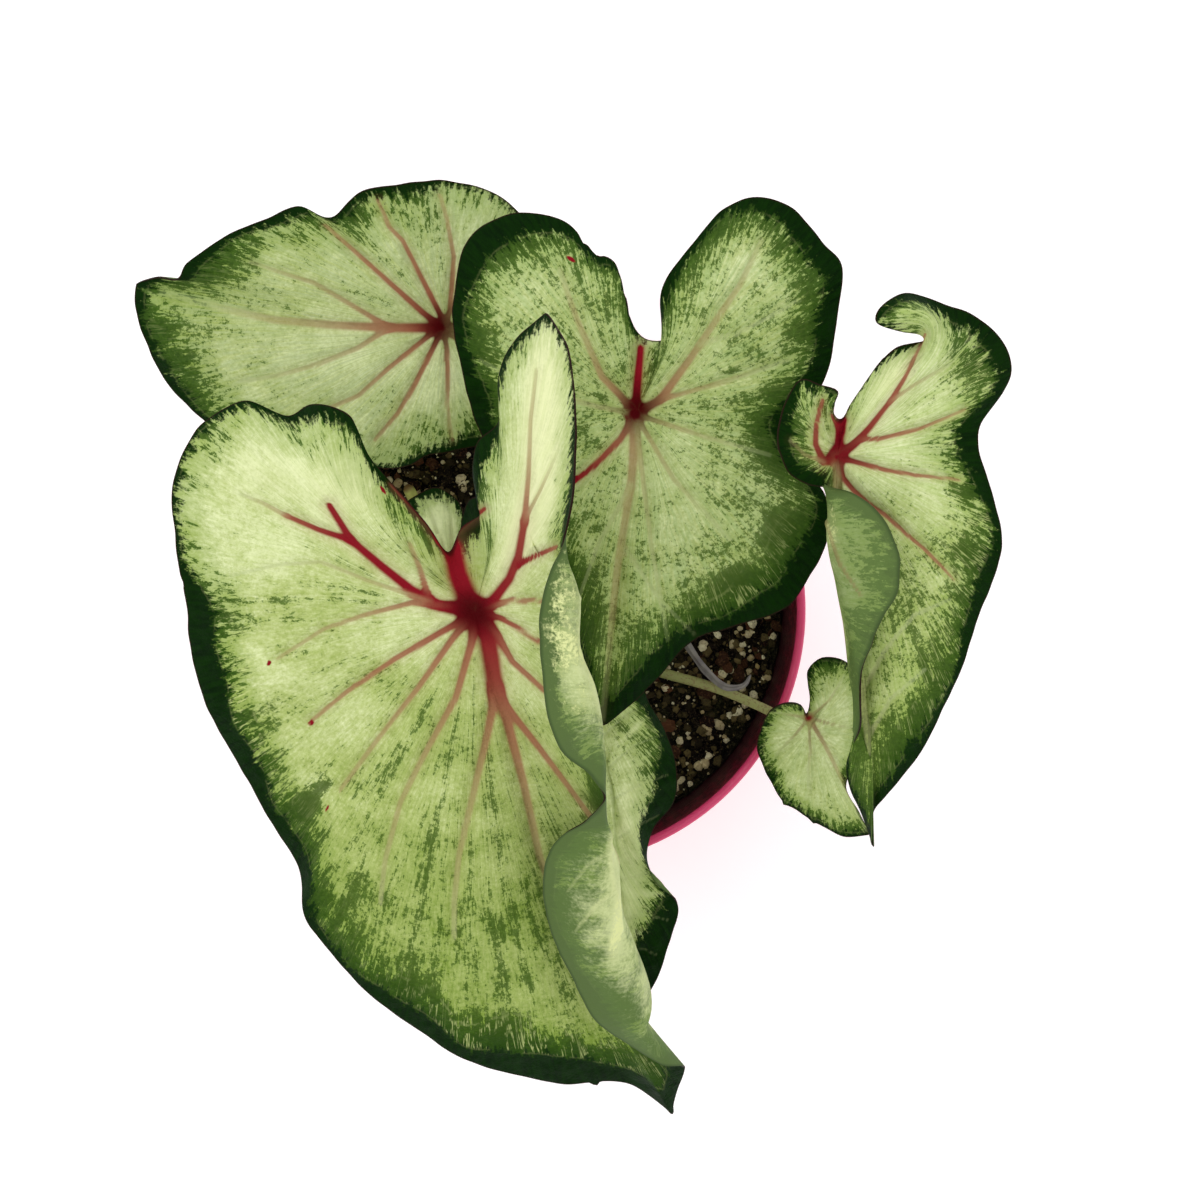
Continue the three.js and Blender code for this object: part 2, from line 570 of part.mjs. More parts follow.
const witheredRoute = [
  [29.5, 0, soilLevel - 9],
  [32, -3, soilLevel + 1],
  [35, -9, soilLevel + 10],
  [39.5, -15.5, soilLevel + 19],
  [44.5, -19.2, soilLevel + 25],
  [48.5, -18.5, soilLevel + 27],
  [50, -16, soilLevel + 28],
].map((point) => new THREE.Vector3(...point));
const witheredRadii = [1.7, 0.8];

const stubRoute = [
  [-34, 25, soilLevel - 8],
  [-35, 28, soilLevel + 1],
  [-36.5, 31.5, soilLevel + 5],
].map((point) => new THREE.Vector3(...point));
const stubRadii = [2.6, 1.3];

holes.push(holeSolid(witheredRoute, witheredRadii));
holes.push(holeSolid(stubRoute, stubRadii));
keepOut.push(witheredRoute[1], stubRoute[1]);

// ---- Pot ----

function uprightLathe(profile, sectors) {
  const points = profile.map(([radius, height]) => new THREE.Vector2(radius, height));
  return new THREE.LatheGeometry(points, sectors).rotateX(Math.PI / 2);
}

const innerFloorRadius = baseRadius - potWall;
const innerRimRadius = rimRadius - rimWidth;
const bandFoot = potHeight - rimBand;

const potBody = toSolid(uprightLathe([
  [0, 0],
  [baseRadius - 1.5, 0],
  [baseRadius, 1.5],
  [shoulderRadius, bandFoot - 0.8],
  [rimRadius - 0.7, bandFoot],
  [rimRadius, potHeight - 1],
  [rimRadius - 0.6, potHeight - 0.2],
  [rimRadius - rimWidth / 2, potHeight],
  [innerRimRadius + 0.4, potHeight - 0.3],
  [innerRimRadius, potHeight - 1.2],
  [shoulderRadius - potWall, bandFoot - 1.5],
  [innerFloorRadius, potFloor + 1.5],
  [innerFloorRadius - 1.5, potFloor],
  [0, potFloor],
], potSectors));

let pot = potBody;
for (let i = 0; i < drainHoles; i += 1) {
  const angle = ((i + 0.5) / drainHoles) * 2 * Math.PI;
  const drill = new THREE.CylinderGeometry(drainRadius, drainRadius, potFloor * 4, 10)
    .rotateX(Math.PI / 2)
    .translate(drainCircle * Math.cos(angle), drainCircle * Math.sin(angle), 0);
  pot = pot.subtract(toSolid(drill));
}

// ---- Soil ----

function soilHeight(x, y) {
  const broad = 1.6 * Math.sin(x * 0.13 + 0.6) * Math.cos(y * 0.11 - 0.4);
  const lumps = 0.9 * Math.sin(x * 0.43 + y * 0.21) * Math.sin(y * 0.47 - x * 0.16);
  const crumbs = 0.5 * Math.sin(x * 1.13 - y * 0.7) * Math.cos(y * 1.21 + x * 0.5);
  return soilLevel + broad + lumps + crumbs;
}

// The pot's inner radius at a height, which the soil keeps `gap` away from.
function innerRadius(height) {
  const share = (height - potFloor - 1.5) / (bandFoot - 1.5 - potFloor - 1.5);
  return innerFloorRadius + (shoulderRadius - potWall - innerFloorRadius) * share;
}

function soilGeometry() {
  const outer = innerRadius(soilLevel) - gap - 0.5;
  const ringPoints = (radius, height) => {
    const points = [];
    for (let i = 0; i < soilSectors; i += 1) {
      const angle = (i / soilSectors) * 2 * Math.PI;
      const x = radius * Math.cos(angle);
      const y = radius * Math.sin(angle);
      points.push(new THREE.Vector3(x, y, height ?? soilHeight(x, y)));
    }
    return points;
  };
  const floorHeight = potFloor + gap + 0.2;
  const rings = [
    ringPoints(innerFloorRadius - 2.2, floorHeight),
    ringPoints(innerFloorRadius - gap - 0.7, floorHeight + 1.5),
  ];
  for (let ring = soilRings; ring >= 1; ring -= 1) rings.push(ringPoints((outer * ring) / soilRings));
  const bottom = new THREE.Vector3(0, 0, floorHeight);
  const top = new THREE.Vector3(0, 0, soilHeight(0, 0));
  const corners = [];
  for (let i = 0; i < soilSectors; i += 1) {
    const next = (i + 1) % soilSectors;
    corners.push(bottom, rings[0][next], rings[0][i]);
    for (let ring = 0; ring < rings.length - 1; ring += 1) {
      corners.push(rings[ring][i], rings[ring][next], rings[ring + 1][next]);
      corners.push(rings[ring][i], rings[ring + 1][next], rings[ring + 1][i]);
    }
    corners.push(top, rings[rings.length - 1][i], rings[rings.length - 1][next]);
  }
  return new THREE.BufferGeometry().setFromPoints(corners);
}

// A grain of perlite or a chip of bark, sunk into the surface of the soil, clear of the stalks.
function grain(random, size, flatness) {
  let x;
  let y;
  do {
    const radius = (innerRadius(soilLevel) - 5) * Math.sqrt(random());
    const angle = random() * 2 * Math.PI;
    x = radius * Math.cos(angle);
    y = radius * Math.sin(angle);
  } while (keepOut.some((foot) => Math.hypot(foot.x - x, foot.y - y) < size + stalkClearance));
  const geometry = new THREE.IcosahedronGeometry(size, 0)
    .scale(1, 0.6 + 0.3 * random(), flatness)
    .rotateX((random() - 0.5) * 1.2)
    .rotateZ(random() * Math.PI)
    .translate(x, y, soilHeight(x, y) + size * flatness * 0.35);
  return toSolid(geometry);
}

const random = randomStream(4711);
const grains = [];
for (let i = 0; i < perliteGrains; i += 1) grains.push(grain(random, 1.4 + 0.8 * random(), 0.75));
for (let i = 0; i < barkChips; i += 1) grains.push(grain(random, 2.4 + 1.6 * random(), 0.4));

const soilBed = wasm.Manifold.union([toSolid(soilGeometry()), ...grains]);
const soil = largestPiece(soilBed.subtract(wasm.Manifold.union(holes)));

// ---- Assembly ----

const potMaterial = new THREE.MeshStandardMaterial({ color: 0xc43a5c, roughness: 0.35, metalness: 0 });
const soilMaterial = new THREE.MeshStandardMaterial({ color: 0x2a211c, roughness: 0.95, metalness: 0 });
const bladeMaterial = new THREE.MeshStandardMaterial({ color: 0xa9c07f, roughness: 0.5, metalness: 0 });
const petioleMaterial = new THREE.MeshStandardMaterial({ color: 0x93a86a, roughness: 0.45, metalness: 0 });
const witheredMaterial = new THREE.MeshStandardMaterial({ color: 0x8d8a7c, roughness: 0.8, metalness: 0 });
const stubMaterial = new THREE.MeshStandardMaterial({ color: 0xa8b24f, roughness: 0.6, metalness: 0 });

const caladium = new THREE.Group();

function addPiece(name, geometry, material) {
  const mesh = new THREE.Mesh(geometry, material);
  mesh.name = name;
  caladium.add(mesh);
}

addPiece('pot', toGeometry(pot), potMaterial);
addPiece('soil', toGeometry(soil), soilMaterial);
for (const name of Object.keys(leaves)) {
  addPiece(`leaf_${name}`, blades[name], bladeMaterial);
  addPiece(`petiole_${name}`, toGeometry(stalks[name]), petioleMaterial);
}
addPiece('withered_stalk', stalkGeometry(witheredRoute, ...witheredRadii), witheredMaterial);
addPiece('stalk_stub', stalkGeometry(stubRoute, ...stubRadii), stubMaterial);

export default caladium;
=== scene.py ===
# A caladium with seven leaves in a pink nursery pot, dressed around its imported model.
import math

import bpy
import numpy as np
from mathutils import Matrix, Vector


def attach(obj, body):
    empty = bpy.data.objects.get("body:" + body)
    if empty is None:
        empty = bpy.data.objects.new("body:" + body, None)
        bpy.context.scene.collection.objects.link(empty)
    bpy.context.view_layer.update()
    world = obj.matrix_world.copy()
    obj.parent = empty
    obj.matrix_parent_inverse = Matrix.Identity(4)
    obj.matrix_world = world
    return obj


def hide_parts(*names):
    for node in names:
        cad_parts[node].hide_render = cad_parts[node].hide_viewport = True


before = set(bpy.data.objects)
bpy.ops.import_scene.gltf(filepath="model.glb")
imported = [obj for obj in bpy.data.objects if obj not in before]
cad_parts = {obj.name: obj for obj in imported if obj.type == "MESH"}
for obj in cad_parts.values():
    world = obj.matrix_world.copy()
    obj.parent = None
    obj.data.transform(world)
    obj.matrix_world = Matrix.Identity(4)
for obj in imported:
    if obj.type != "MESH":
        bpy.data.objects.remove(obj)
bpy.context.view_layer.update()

mm = 0.001
print("Frame loaded with", len(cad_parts), "nodes")


# Shader values that can be calculated with, and steps that the materials and meshes share

class Wire:
    def __init__(self, tree, socket=None):
        self.tree = tree
        self.socket = socket

    def add(self, kind, sockets=None, output=0, **settings):
        node = self.tree.nodes.new(kind)
        for name, value in settings.items():
            setattr(node, name, value)
        for name, value in (sockets or {}).items():
            if isinstance(value, Wire):
                self.tree.links.new(value.socket, node.inputs[name])
            else:
                node.inputs[name].default_value = value
        return Wire(self.tree, node.outputs[output])

    def sum(self, operation, *values):
        return self.add("ShaderNodeMath", dict(enumerate(values)), operation=operation)

    def __add__(self, other):
        return self.sum("ADD", self, other)

    def __radd__(self, other):
        return self.sum("ADD", other, self)

    def __sub__(self, other):
        return self.sum("SUBTRACT", self, other)

    def __rsub__(self, other):
        return self.sum("SUBTRACT", other, self)

    def __mul__(self, other):
        return self.sum("MULTIPLY", self, other)

    def most(self, other):
        return self.sum("MAXIMUM", self, other)

    def unsigned(self):
        return self.sum("ABSOLUTE", self)

    def parts(self, kind="XYZ"):
        node = self.add("ShaderNodeSeparate" + kind, {0: self}).socket.node
        return [Wire(self.tree, socket) for socket in node.outputs]

    def rise(self, low, high):  # 0 below low, 1 above high, smooth between
        sockets = {"Value": self, "From Min": low, "From Max": high}
        return self.add("ShaderNodeMapRange", sockets, interpolation_type="SMOOTHSTEP")

    def blend(self, first, second):  # colour `first` where this is 0, `second` where it is 1
        return self.add("ShaderNodeMix", {0: self, 6: asColour(first), 7: asColour(second)}, output=2,
                        data_type="RGBA")


def asColour(value):
    return value if isinstance(value, Wire) else (*value, 1)


def paint(red, green, blue):  # a colour as painters' charts give it, 0 to 255, made linear
    return tuple((c / 255 / 12.92) if c <= 10 else (((c / 255 + 0.055) / 1.055) ** 2.4)
                 for c in (red, green, blue))


def startMaterial(name):  # the material, its wire, and the place on the object in millimetres
    material = bpy.data.materials.new(name)
    material.use_nodes = True
    material.node_tree.nodes.clear()
    wire = Wire(material.node_tree)
    place = stretched(wire, wire.add("ShaderNodeTexCoord", output=3), (1 / mm,) * 3)
    return material, wire, place


def endMaterial(wire, colour, roughness, bumps=(), **constants):
    # bumps: pairs of a height and its depth in metres
    normal = None
    for height, depth in bumps:
        sockets = {"Height": height, "Distance": depth}
        if normal:
            sockets["Normal"] = normal
        normal = wire.add("ShaderNodeBump", sockets)
    sockets = {"Base Color": asColour(colour), "Roughness": roughness}
    if normal:
        sockets["Normal"] = normal
    sockets.update({name.replace("_", " "): value for name, value in constants.items()})
    surface = wire.add("ShaderNodeBsdfPrincipled", sockets)
    output = wire.tree.nodes.new("ShaderNodeOutputMaterial")
    wire.tree.links.new(surface.socket, output.inputs["Surface"])


def stretched(wire, vector, scale):
    return wire.add("ShaderNodeMapping", {"Vector": vector, "Scale": scale})


def noise(wire, vector, scale, detail=2, roughness=0.5, distortion=0.0):  # scale: one, or one per direction
    if isinstance(scale, tuple):
        vector, scale = stretched(wire, vector, scale), 1
    sockets = {"Vector": vector, "Scale": scale, "Detail": detail, "Roughness": roughness,
               "Distortion": distortion}
    return wire.add("ShaderNodeTexNoise", sockets)


def spread(value, reach=0.22):  # noise gathers round 0.5: this spreads it over 0 to 1
    return value.rise(0.5 - reach, 0.5 + reach)


def linked(thing):
    bpy.context.scene.collection.objects.link(thing)
    return thing


def stackFaces(sides, rings):
    # a closed stack of rings of points between two poles, which are the first and the last point
    faces = []
    end = 1 + rings * sides
    for i in range(sides):
        j = (i + 1) % sides
        faces.append((0, 1 + j, 1 + i))
        for low in range(1, end - sides, sides):
            faces.append((low + i, low + j, low + sides + j, low + sides + i))
        faces.append((end, end - sides + i, end - sides + j))
    return faces


def circle(sides):
    return np.linspace(0, 2 * math.pi, sides, endpoint=False)


def newPiece(name, points, faces, materials, slots=None):
    mesh = bpy.data.meshes.new(name)
    mesh.from_pydata([tuple(p) for p in np.asarray(points) * mm], [], faces)
    for material in materials:
        mesh.materials.append(material)
    if slots is not None:
        mesh.polygons.foreach_set("material_index", slots)
    mesh.polygons.foreach_set("use_smooth", [True] * len(mesh.polygons))
    mesh.update()
    return linked(bpy.data.objects.new(name, mesh))


def cornerPoints(mesh):
    corners = np.zeros(len(mesh.loops), int)
    mesh.loops.foreach_get("vertex_index", corners)
    return corners


def mapPlaces(mesh, name, across, along):  # a UV map from two values for each face corner
    layer = mesh.uv_layers.new(name=name)
    layer.data.foreach_set("uv", np.stack([across, along], 1).ravel())


def settle(piece, slotName, *nodes):
    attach(piece, "root")
    if nodes:
        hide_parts(*nodes)
    print("  finished", piece.name, "with", len(piece.data.polygons), "faces")


# Camera, floor and light

studio = {
    "eye": (12.75, 2.5, 808),  # mm, straight over the plant
    "lens": 84,
    "sensor": 36,
    "floorSize": 14000,
    "floorTone": (0.985, 0.985, 0.985),
    "floorGlow": 0.2,
    "sky": 0.95,
    "lampPlace": (-220, 300, 1500),  # mm
    "lampAim": (0, 0, 120),
    "lampSize": 1.5,
    "lampPower": 6,
}

camera = linked(bpy.data.objects.new("camera", bpy.data.cameras.new("camera")))
camera.data.lens = studio["lens"]
camera.data.sensor_width = studio["sensor"]
camera.location = Vector(studio["eye"]) * mm
camera.data.clip_start = 0.01
bpy.context.scene.camera = camera


def makeFloor():
    half = studio["floorSize"] / 2
    corners = [(-half, -half, 0), (half, -half, 0), (half, half, 0), (-half, half, 0)]
    material, wire, place = startMaterial("palePaper")
    tone = noise(wire, place, 0.014, 3)
    colour = tone.blend(studio["floorTone"], tuple(c * 0.99 for c in studio["floorTone"]))
    endMaterial(wire, colour, 0.8, Emission_Color=(1, 1, 1, 1), Emission_Strength=studio["floorGlow"])
    newPiece("floor", corners, [(0, 1, 2, 3)], [material])


def makeLight():
    lamp = linked(bpy.data.objects.new("softbox", bpy.data.lights.new("softbox", "AREA")))
    lamp.data.shape = "DISK"
    lamp.data.size = studio["lampSize"]
    lamp.data.energy = studio["lampPower"]
    lamp.location = Vector(studio["lampPlace"]) * mm
    aim = Vector(studio["lampAim"]) * mm - lamp.location
    lamp.rotation_euler = aim.to_track_quat("-Z", "Y").to_euler()
    world = bpy.data.worlds.new("studio")
    world.use_nodes = True
    sky = world.node_tree.nodes["Background"]
    sky.inputs["Color"].default_value = (1, 1, 1, 1)
    sky.inputs["Strength"].default_value = studio["sky"]
    bpy.context.scene.world = world


makeFloor()
makeLight()
bpy.context.scene.view_settings.view_transform = "Standard"
print("Camera, floor and light are set")


# Leaves. A blade is a fan of rays, anticlockwise from above, from the top of the petiole to the edge.
# Each ray is (number of the point where the blade turns over, points out to the edge, points of the
# edge between this ray and the next), and each point is x, y, z. x and y are where it lines up over the
# rim of the pot when seen from the sight point, and z is its height. Corners are rays that end in a
# sharp point; teeth and bites of the edge are (x, y, width, depth).

sight = {"x": 12.75, "y": 2.5, "rim": 108, "height": 700}

# lengths in mm, shares of the way from the hub to the edge
bladeBuild = {
    "columnStep": 0.9,
    "rings": 82,
    "crowding": 1.2,
    "foldShare": 1 - 0.5 ** 1.4,
    "edgePull": 4,
    "ripple": 0.8,
    "rippleLength": 28,
    "hubFlatness": 0.85,
    "tangentLimit": 1.4,
    "calming": 40,  # passes that even out what is inside the folds, on wide blades only
    "calmReach": 9,
    "calmShare": 0.4,
    "calmLimit": 0.8,
    "calmFade": 0.2,
    "calmFrom": 30,
    "calmFull": 50,
    "cornerEase": 0.15,
    "coarseTo": 0.22,
    "mediumTo": 0.45,
    "smoothings": 6,
    "thickness": 0.42,
    "hubThickness": 1.5,
    "hubSpread": 3.0,
    "veinSink": 0.32,
    "sinkReach": 4,
    "ribRise": 0.55,
    "ribReach": 12,
}

# waves of the edge for each 2 mm of it, height in mm, phase
edgeWaves = [(0.31, 0.04, 1), (0.19, 0.06, 2.3), (0.11, 0.1, 4.4), (0.07, 0.14, 0.7)]

leaves = {
    "front": {
        "hub": [-18.5, -0.5, 200], "corners": [10, 26], "arch": 0.07,
        "teeth": [(-91, 7, 1.2, -0.7), (11.5, -118.5, 0.8, 2.6), (30.5, -125, 0.8, 1.8)],
        "rays": [
            (0, [-24.75, 14.5, 207], [-31.25, 22.25, 210, -38.5, 30.5, 212, -45, 38.75, 213]),
            (0, [-46, 27, 210, -50, 48.75, 213], [-59.25, 51.5, 209, -65, 48.5, 205]),
            (0, [-50, 22, 206, -76, 52.25, 201], [-87.75, 45.75, 195]),
            (0, [-93.75, 31.75, 191], [-93.25, 15, 188]), (0, [-90.75, 1.25, 185], [-89.75, -8.75, 182]),
            (0, [-86.25, -22.5, 178], [-79.75, -35, 172]),
            (0, [-71.75, -49, 166], [-62.5, -65.5, 160, -60.75, -77, 157]),
            (0, [-48.25, -92.75, 151], [-33.75, -104.5, 145]), (0, [-18, -113.5, 138], [2, -118.25, 130]),
            (0, [-6, -53, 168, 19, -118.25, 124], []),
            (2, [-3.5, -55, 165, 14, -95, 140, 30.5, -125.5, 116], [32.5, -119.25, 121]),
            (2, [-0.5, -54.5, 166.5, 19, -95, 141, 33.75, -114.5, 127], [28, -113.25, 138]),
            (2, [1.5, -53.75, 168, 24.5, -101, 142, 22.5, -105, 148, 18, -107, 147], [10.75, -101, 155]),
            (2, [4, -53, 171, 20.5, -87, 158, 14, -89, 167, 5.25, -90, 164], [2, -83.5, 168]),
            (2, [6, -52, 174, 18, -77.5, 168, 10.5, -78, 179, 0, -77.5, 173], [-1.25, -70.5, 178]),
            (2, [8, -50, 178, 17, -64.5, 177, 10, -64.5, 189, -1, -64.5, 184], [1, -59, 190]),
            (2, [9, -46, 182, 15, -57, 188, 11.5, -55.5, 196, 4.5, -55.5, 195], [9, -52.5, 202]),
            (1, [13.75, -47, 205, 13.75, -46.75, 213], [11, -42.5, 217]),
            (1, [13.75, -37.5, 209, 11.5, -37.5, 218, 9, -40, 218], [4, -36, 220]),
            (1, [13, -29, 213, 9, -29, 226, 1.75, -32.5, 223], [0, -25.75, 225]),
            (1, [11.25, -19.5, 218, 7, -19.5, 230, -1, -19.5, 227], [-1.5, -14, 228]),
            (1, [7.5, -9.5, 221, 4.5, -9, 231, -2, -8, 230], [-2.25, -1, 232]),
            (1, [7.25, 3, 226, 4.5, 4, 235, -1.25, 4.5, 234], [0.25, 9, 236]),
            (1, [4, 12.5, 232, 3.5, 13, 237, 2, 13.5, 238], [3.25, 17, 239]),
            (0, [-3, 14, 217, 5.5, 27, 240], [6.25, 36, 240]),
            (0, [-3.5, 25, 221, 6.5, 46, 239], [6, 57, 237, 4.25, 66, 234]),
            (0, [-6, 36, 221, -1, 74.25, 230], [-9, 67, 222]),
            (0, [-10.5, 28, 213, -12.75, 57.5, 217], [-12.75, 47.5, 213, -17.75, 42, 210, -19, 33, 207,
              -16.5, 25.5, 206, -22, 20.5, 206]),
        ],
    },
    "back": {
        "hub": [-26, 70.5, 158], "corners": [7], "arch": 0.06,
        "rays": [
            (0, [-17.25, 69, 158], [-12.25, 76.25, 160]), (0, [-4.75, 83.75, 162], [-2, 91.25, 164]),
            (0, [-7.5, 99.25, 166], [-16, 105.25, 169]), (0, [-26.75, 107.5, 171], [-37.25, 106.5, 172]),
            (0, [-47.75, 104.25, 172], [-55, 98.25, 169]), (0, [-62.5, 100.75, 169], [-72.25, 97.25, 168]),
            (0, [-82.75, 92.5, 165], [-90.5, 86.5, 162, -93.25, 82.5, 159, -97.75, 83, 156]),
            (0, [-40, 71, 156.5, -72.5, 75.5, 154, -103.5, 81.75, 151], [-103.5, 76, 149.5]),
            (0, [-100.5, 66.25, 147], [-94.75, 55.75, 142]), (0, [-86.5, 47.75, 139], [-74.75, 40.25, 138]),
            (0, [-59.75, 35.5, 139], [-44.25, 35.5, 142]),
            (0, [-35.25, 36, 144], [-30.25, 38.75, 146, -24.75, 39.5, 147]),
            (0, [-18.5, 41, 148], [-9.75, 43, 149]),
            (0, [-3.5, 48.75, 151], [-4.75, 56.25, 153, -12.25, 64.5, 156]),
        ],
    },
    "middle": {
        "hub": [22.25, 50, 182], "corners": [11], "arch": 0.06,
        "teeth": [(9.5, 90.5, 1, 0.9), (12, 89, 1.4, -0.8), (16.5, 84, 1.2, -1.0), (18.5, 79.5, 0.9, -0.8),
                  (19.5, 75, 1.1, -0.7)],
        "rays": [
            (0, [24.75, 67.5, 185], []), (0, [21.75, 70, 186], [19.5, 76.25, 187, 18.75, 80, 187]),
            (0, [16.5, 71, 186.5, 16.25, 87, 188], [9.25, 91, 188]),
            (0, [12.5, 72, 186, 7, 94.5, 188], [2.75, 97.75, 188]),
            (0, [-5.5, 99.5, 187], [-14.75, 97.5, 185]), (0, [-21, 91, 183], [-23.5, 80, 181]),
            (0, [-24, 71.25, 180], [-22, 60, 178]), (0, [-18.75, 48.75, 176], [-14.25, 37.5, 174]),
            (0, [-7.75, 26.25, 172], [-1, 15, 169]), (0, [3.75, 2.5, 166], [6.25, -10, 162]),
            (0, [8.75, -21.25, 158], []), (0, [20, 25, 173, 16.5, 2.5, 165, 13.5, -29.25, 155], []),
            (0, [20.25, -24, 158], [26.75, -17.75, 159]), (0, [35.75, -7.75, 163], [47.25, -4, 166]),
            (0, [59.5, 1, 168], [66.5, 10.25, 170]), (0, [69.75, 18.75, 172], [69.25, 28.25, 174]),
            (0, [63.25, 37, 176], [62, 45, 178, 66.5, 53, 180]), (0, [70, 60.5, 182], [71.75, 72, 184]),
            (0, [73, 86, 187], [68.25, 92.5, 189]),
            (0, [61.5, 100, 190], [54.75, 103, 191, 49.75, 103, 191]),
            (0, [38, 75, 187.5, 43.25, 100, 190], []),
            (0, [33, 72, 187, 35.25, 90.75, 189], [28.25, 80.5, 188, 28, 73.75, 186]),
            (0, [28.5, 67.5, 185], []),
        ],
    },
    "right": {
        "hub": [72.25, 38.75, 203], "corners": [5, 15], "arch": 0.05,
        "teeth": [(78.5, 57, 0.7, 0.7), (81, 60, 0.7, -0.6), (83, 62.5, 0.7, 0.6), (80.5, -58, 0.7, 1)],
        "rays": [
            (0, [72.75, 43.75, 205, 73.25, 47.5, 208], []),
            (0, [71.5, 44, 207, 71.25, 49, 210], [71.5, 51.75, 212]),
            (0, [69.5, 46.5, 208, 70, 52, 212, 72.25, 54.75, 213], [67.75, 56.5, 213]),
            (0, [66, 46, 208, 63.5, 53.75, 212, 63.25, 57.5, 213], []),
            (0, [59.25, 52, 212], [57.25, 45.5, 210]), (0, [57.5, 39.5, 208], [59.75, 34, 205]),
            (0, [64.5, 31.5, 204], [70.25, 30.25, 204.5]),
            (2, [71, 34, 202.5, 69.5, 29.25, 203, 71, 28.25, 207, 76.5, 28.75, 209], []),
            (2, [71.5, 33, 201, 69.9, 25.5, 200.5, 72.5, 24.5, 208, 80.25, 26.5, 209], [84.25, 22, 208]),
            (2, [71.7, 31, 199, 69.75, 17, 195, 72.5, 15.5, 206, 87.25, 14.25, 205], [87.5, 8.75, 203]),
            (2, [72.1, 28, 196, 72, 6.25, 186, 74.75, 4.5, 197, 86.75, 3.25, 199], [84.25, -0.75, 197]),
            (2, [73, 20, 190, 74.5, -5, 178, 76.75, -6.5, 189, 80.75, -8.25, 192], [78.5, -14.5, 187]),
            (2, [74, 12, 185, 75.75, -18.75, 172, 77.75, -20.75, 181, 78, -22.25, 182], [78, -29.5, 173]),
            (2, [74.5, 6, 182, 76.2, -26, 167, 76, -34, 164], [74.25, -38.5, 159]),
            (2, [75.5, 2, 180, 77.5, -30, 163, 75.25, -45, 155], [78.25, -51.25, 150]),
            (2, [77, -2, 177, 80, -36, 158, 81, -59.25, 146], [81.25, -50.5, 151]),
            (0, [79, -4, 178, 84.5, -46.25, 157], []), (0, [92, -36.75, 162], []),
            (0, [100.25, -21.5, 171], []), (0, [108, -0.25, 183], [112.25, 10.75, 188]),
            (0, [113, 18.75, 190], [111, 29.5, 194]), (0, [107.25, 41.25, 198], [107.75, 46.25, 199]),
            (0, [113.75, 54.75, 202], [115.75, 60, 204]), (0, [112.75, 68, 207], [106.25, 73.5, 210]),
            (0, [91.5, 56.75, 210, 99.25, 68.75, 213, 97.75, 77.25, 213], [89, 79.25, 216]),
            (0, [88.5, 58, 210, 95.25, 66.5, 213, 94.5, 72.5, 218, 82.25, 75, 219], [81.75, 72, 218, 88.5,
              69.5, 217, 96.5, 68.75, 213, 93, 67, 211]),
            (0, [87.25, 65.5, 212], [82, 61, 212, 77.75, 55, 211]), (0, [75, 50.75, 210], []),
        ],
    },
    "under": {
        "hub": [4.75, -11.25, 153], "corners": [8], "arch": 0.06,
        "rays": [
            (0, [3.5, -3, 155], []), (0, [-2.5, 0.5, 155], [-8, 10, 153, -13.5, 20, 151]),
            (0, [-12.5, 10, 151, -17, 28, 149], [-20, 27.5, 147]), (0, [-22.75, 17.5, 145], []),
            (0, [-23.5, 2.5, 143], []), (0, [-21.75, -15, 140], [-17.75, -32.5, 137]),
            (0, [-12.25, -50, 133], [-4.75, -67.5, 128]), (0, [5.25, -83.75, 121], [12.75, -93.75, 117]),
            (0, [16, -62, 129.5, 23.25, -98.5, 114], [26.75, -92.5, 117]),
            (0, [12.9, -40, 139.5, 18.3, -63, 128.5, 31, -80.5, 122], []),
            (0, [14.6, -40, 139.5, 20, -60.5, 130, 32.25, -74, 125], [27, -68, 128]),
            (0, [24.5, -62, 129.5], [26, -55, 131]), (0, [31, -48.75, 133], [32, -40, 136]),
            (0, [28.75, -29.5, 139], [24.75, -22.5, 142]), (0, [22.75, -15, 145], [22.25, -6.25, 147]),
            (0, [20.75, 2.5, 149], [17.75, 8.75, 150]),
            (0, [12.75, 11.25, 152], [9, 7.5, 153, 6.5, 1.25, 154]),
        ],
    },
    "small": {
        "hub": [65.25, -30, 128], "corners": [6], "arch": 0.06,
        "teeth": [(58.75, -48.5, 0.7, 1.1), (66, -52.5, 0.7, 0.8)],
        "rays": [
            (0, [64.5, -26, 129], [63, -23.75, 130]), (0, [59.5, -23, 130], [56.25, -24.25, 129]),
            (0, [53.25, -28.5, 127], [52, -33.75, 125]), (0, [53.75, -40, 123], [58.75, -48, 121]),
            (0, [62.75, -50.75, 120], [68.25, -54, 119]), (0, [74.25, -56.75, 117], []),
            (0, [69, -37.5, 124, 74, -47.5, 119.5, 80.25, -56, 115], [77.75, -50.5, 118]),
            (0, [74.5, -43.5, 121], []), (0, [77, -38, 122], []),
            (0, [79.25, -30, 124], [79.25, -22.5, 126]), (0, [77.25, -15.5, 128], [72.75, -12.25, 130]),
            (0, [70, -21, 130, 68.25, -12, 131], [64.75, -15.25, 131, 64.75, -18.5, 130, 65.25, -22.5,
              129]),
        ],
    },
    "young": {
        "hub": [-24.25, 8, 136], "corners": [], "arch": 0.05,
        "rays": [
            (0, [-21.25, 12.25, 137], [-20.75, 17, 138, -21.25, 22.5, 138]), (0, [-22.75, 27.5, 138], []),
            (0, [-27.75, 30.75, 138], [-32.75, 29.25, 137]), (0, [-36.5, 26.25, 136], [-39.25, 17.5, 134]),
            (0, [-40.25, 7.5, 131], []), (0, [-38.5, -7.5, 126], [-32.25, -20, 122]),
            (0, [-25, -10, 127, -23.5, -28.75, 118], []), (0, [-16, -17, 124], []), (0, [-13, -4, 129], []),
            (0, [-12.5, 4, 132], [-13.25, 10, 134]), (0, [-16, 13.5, 135.5], []),
        ],
    },
}

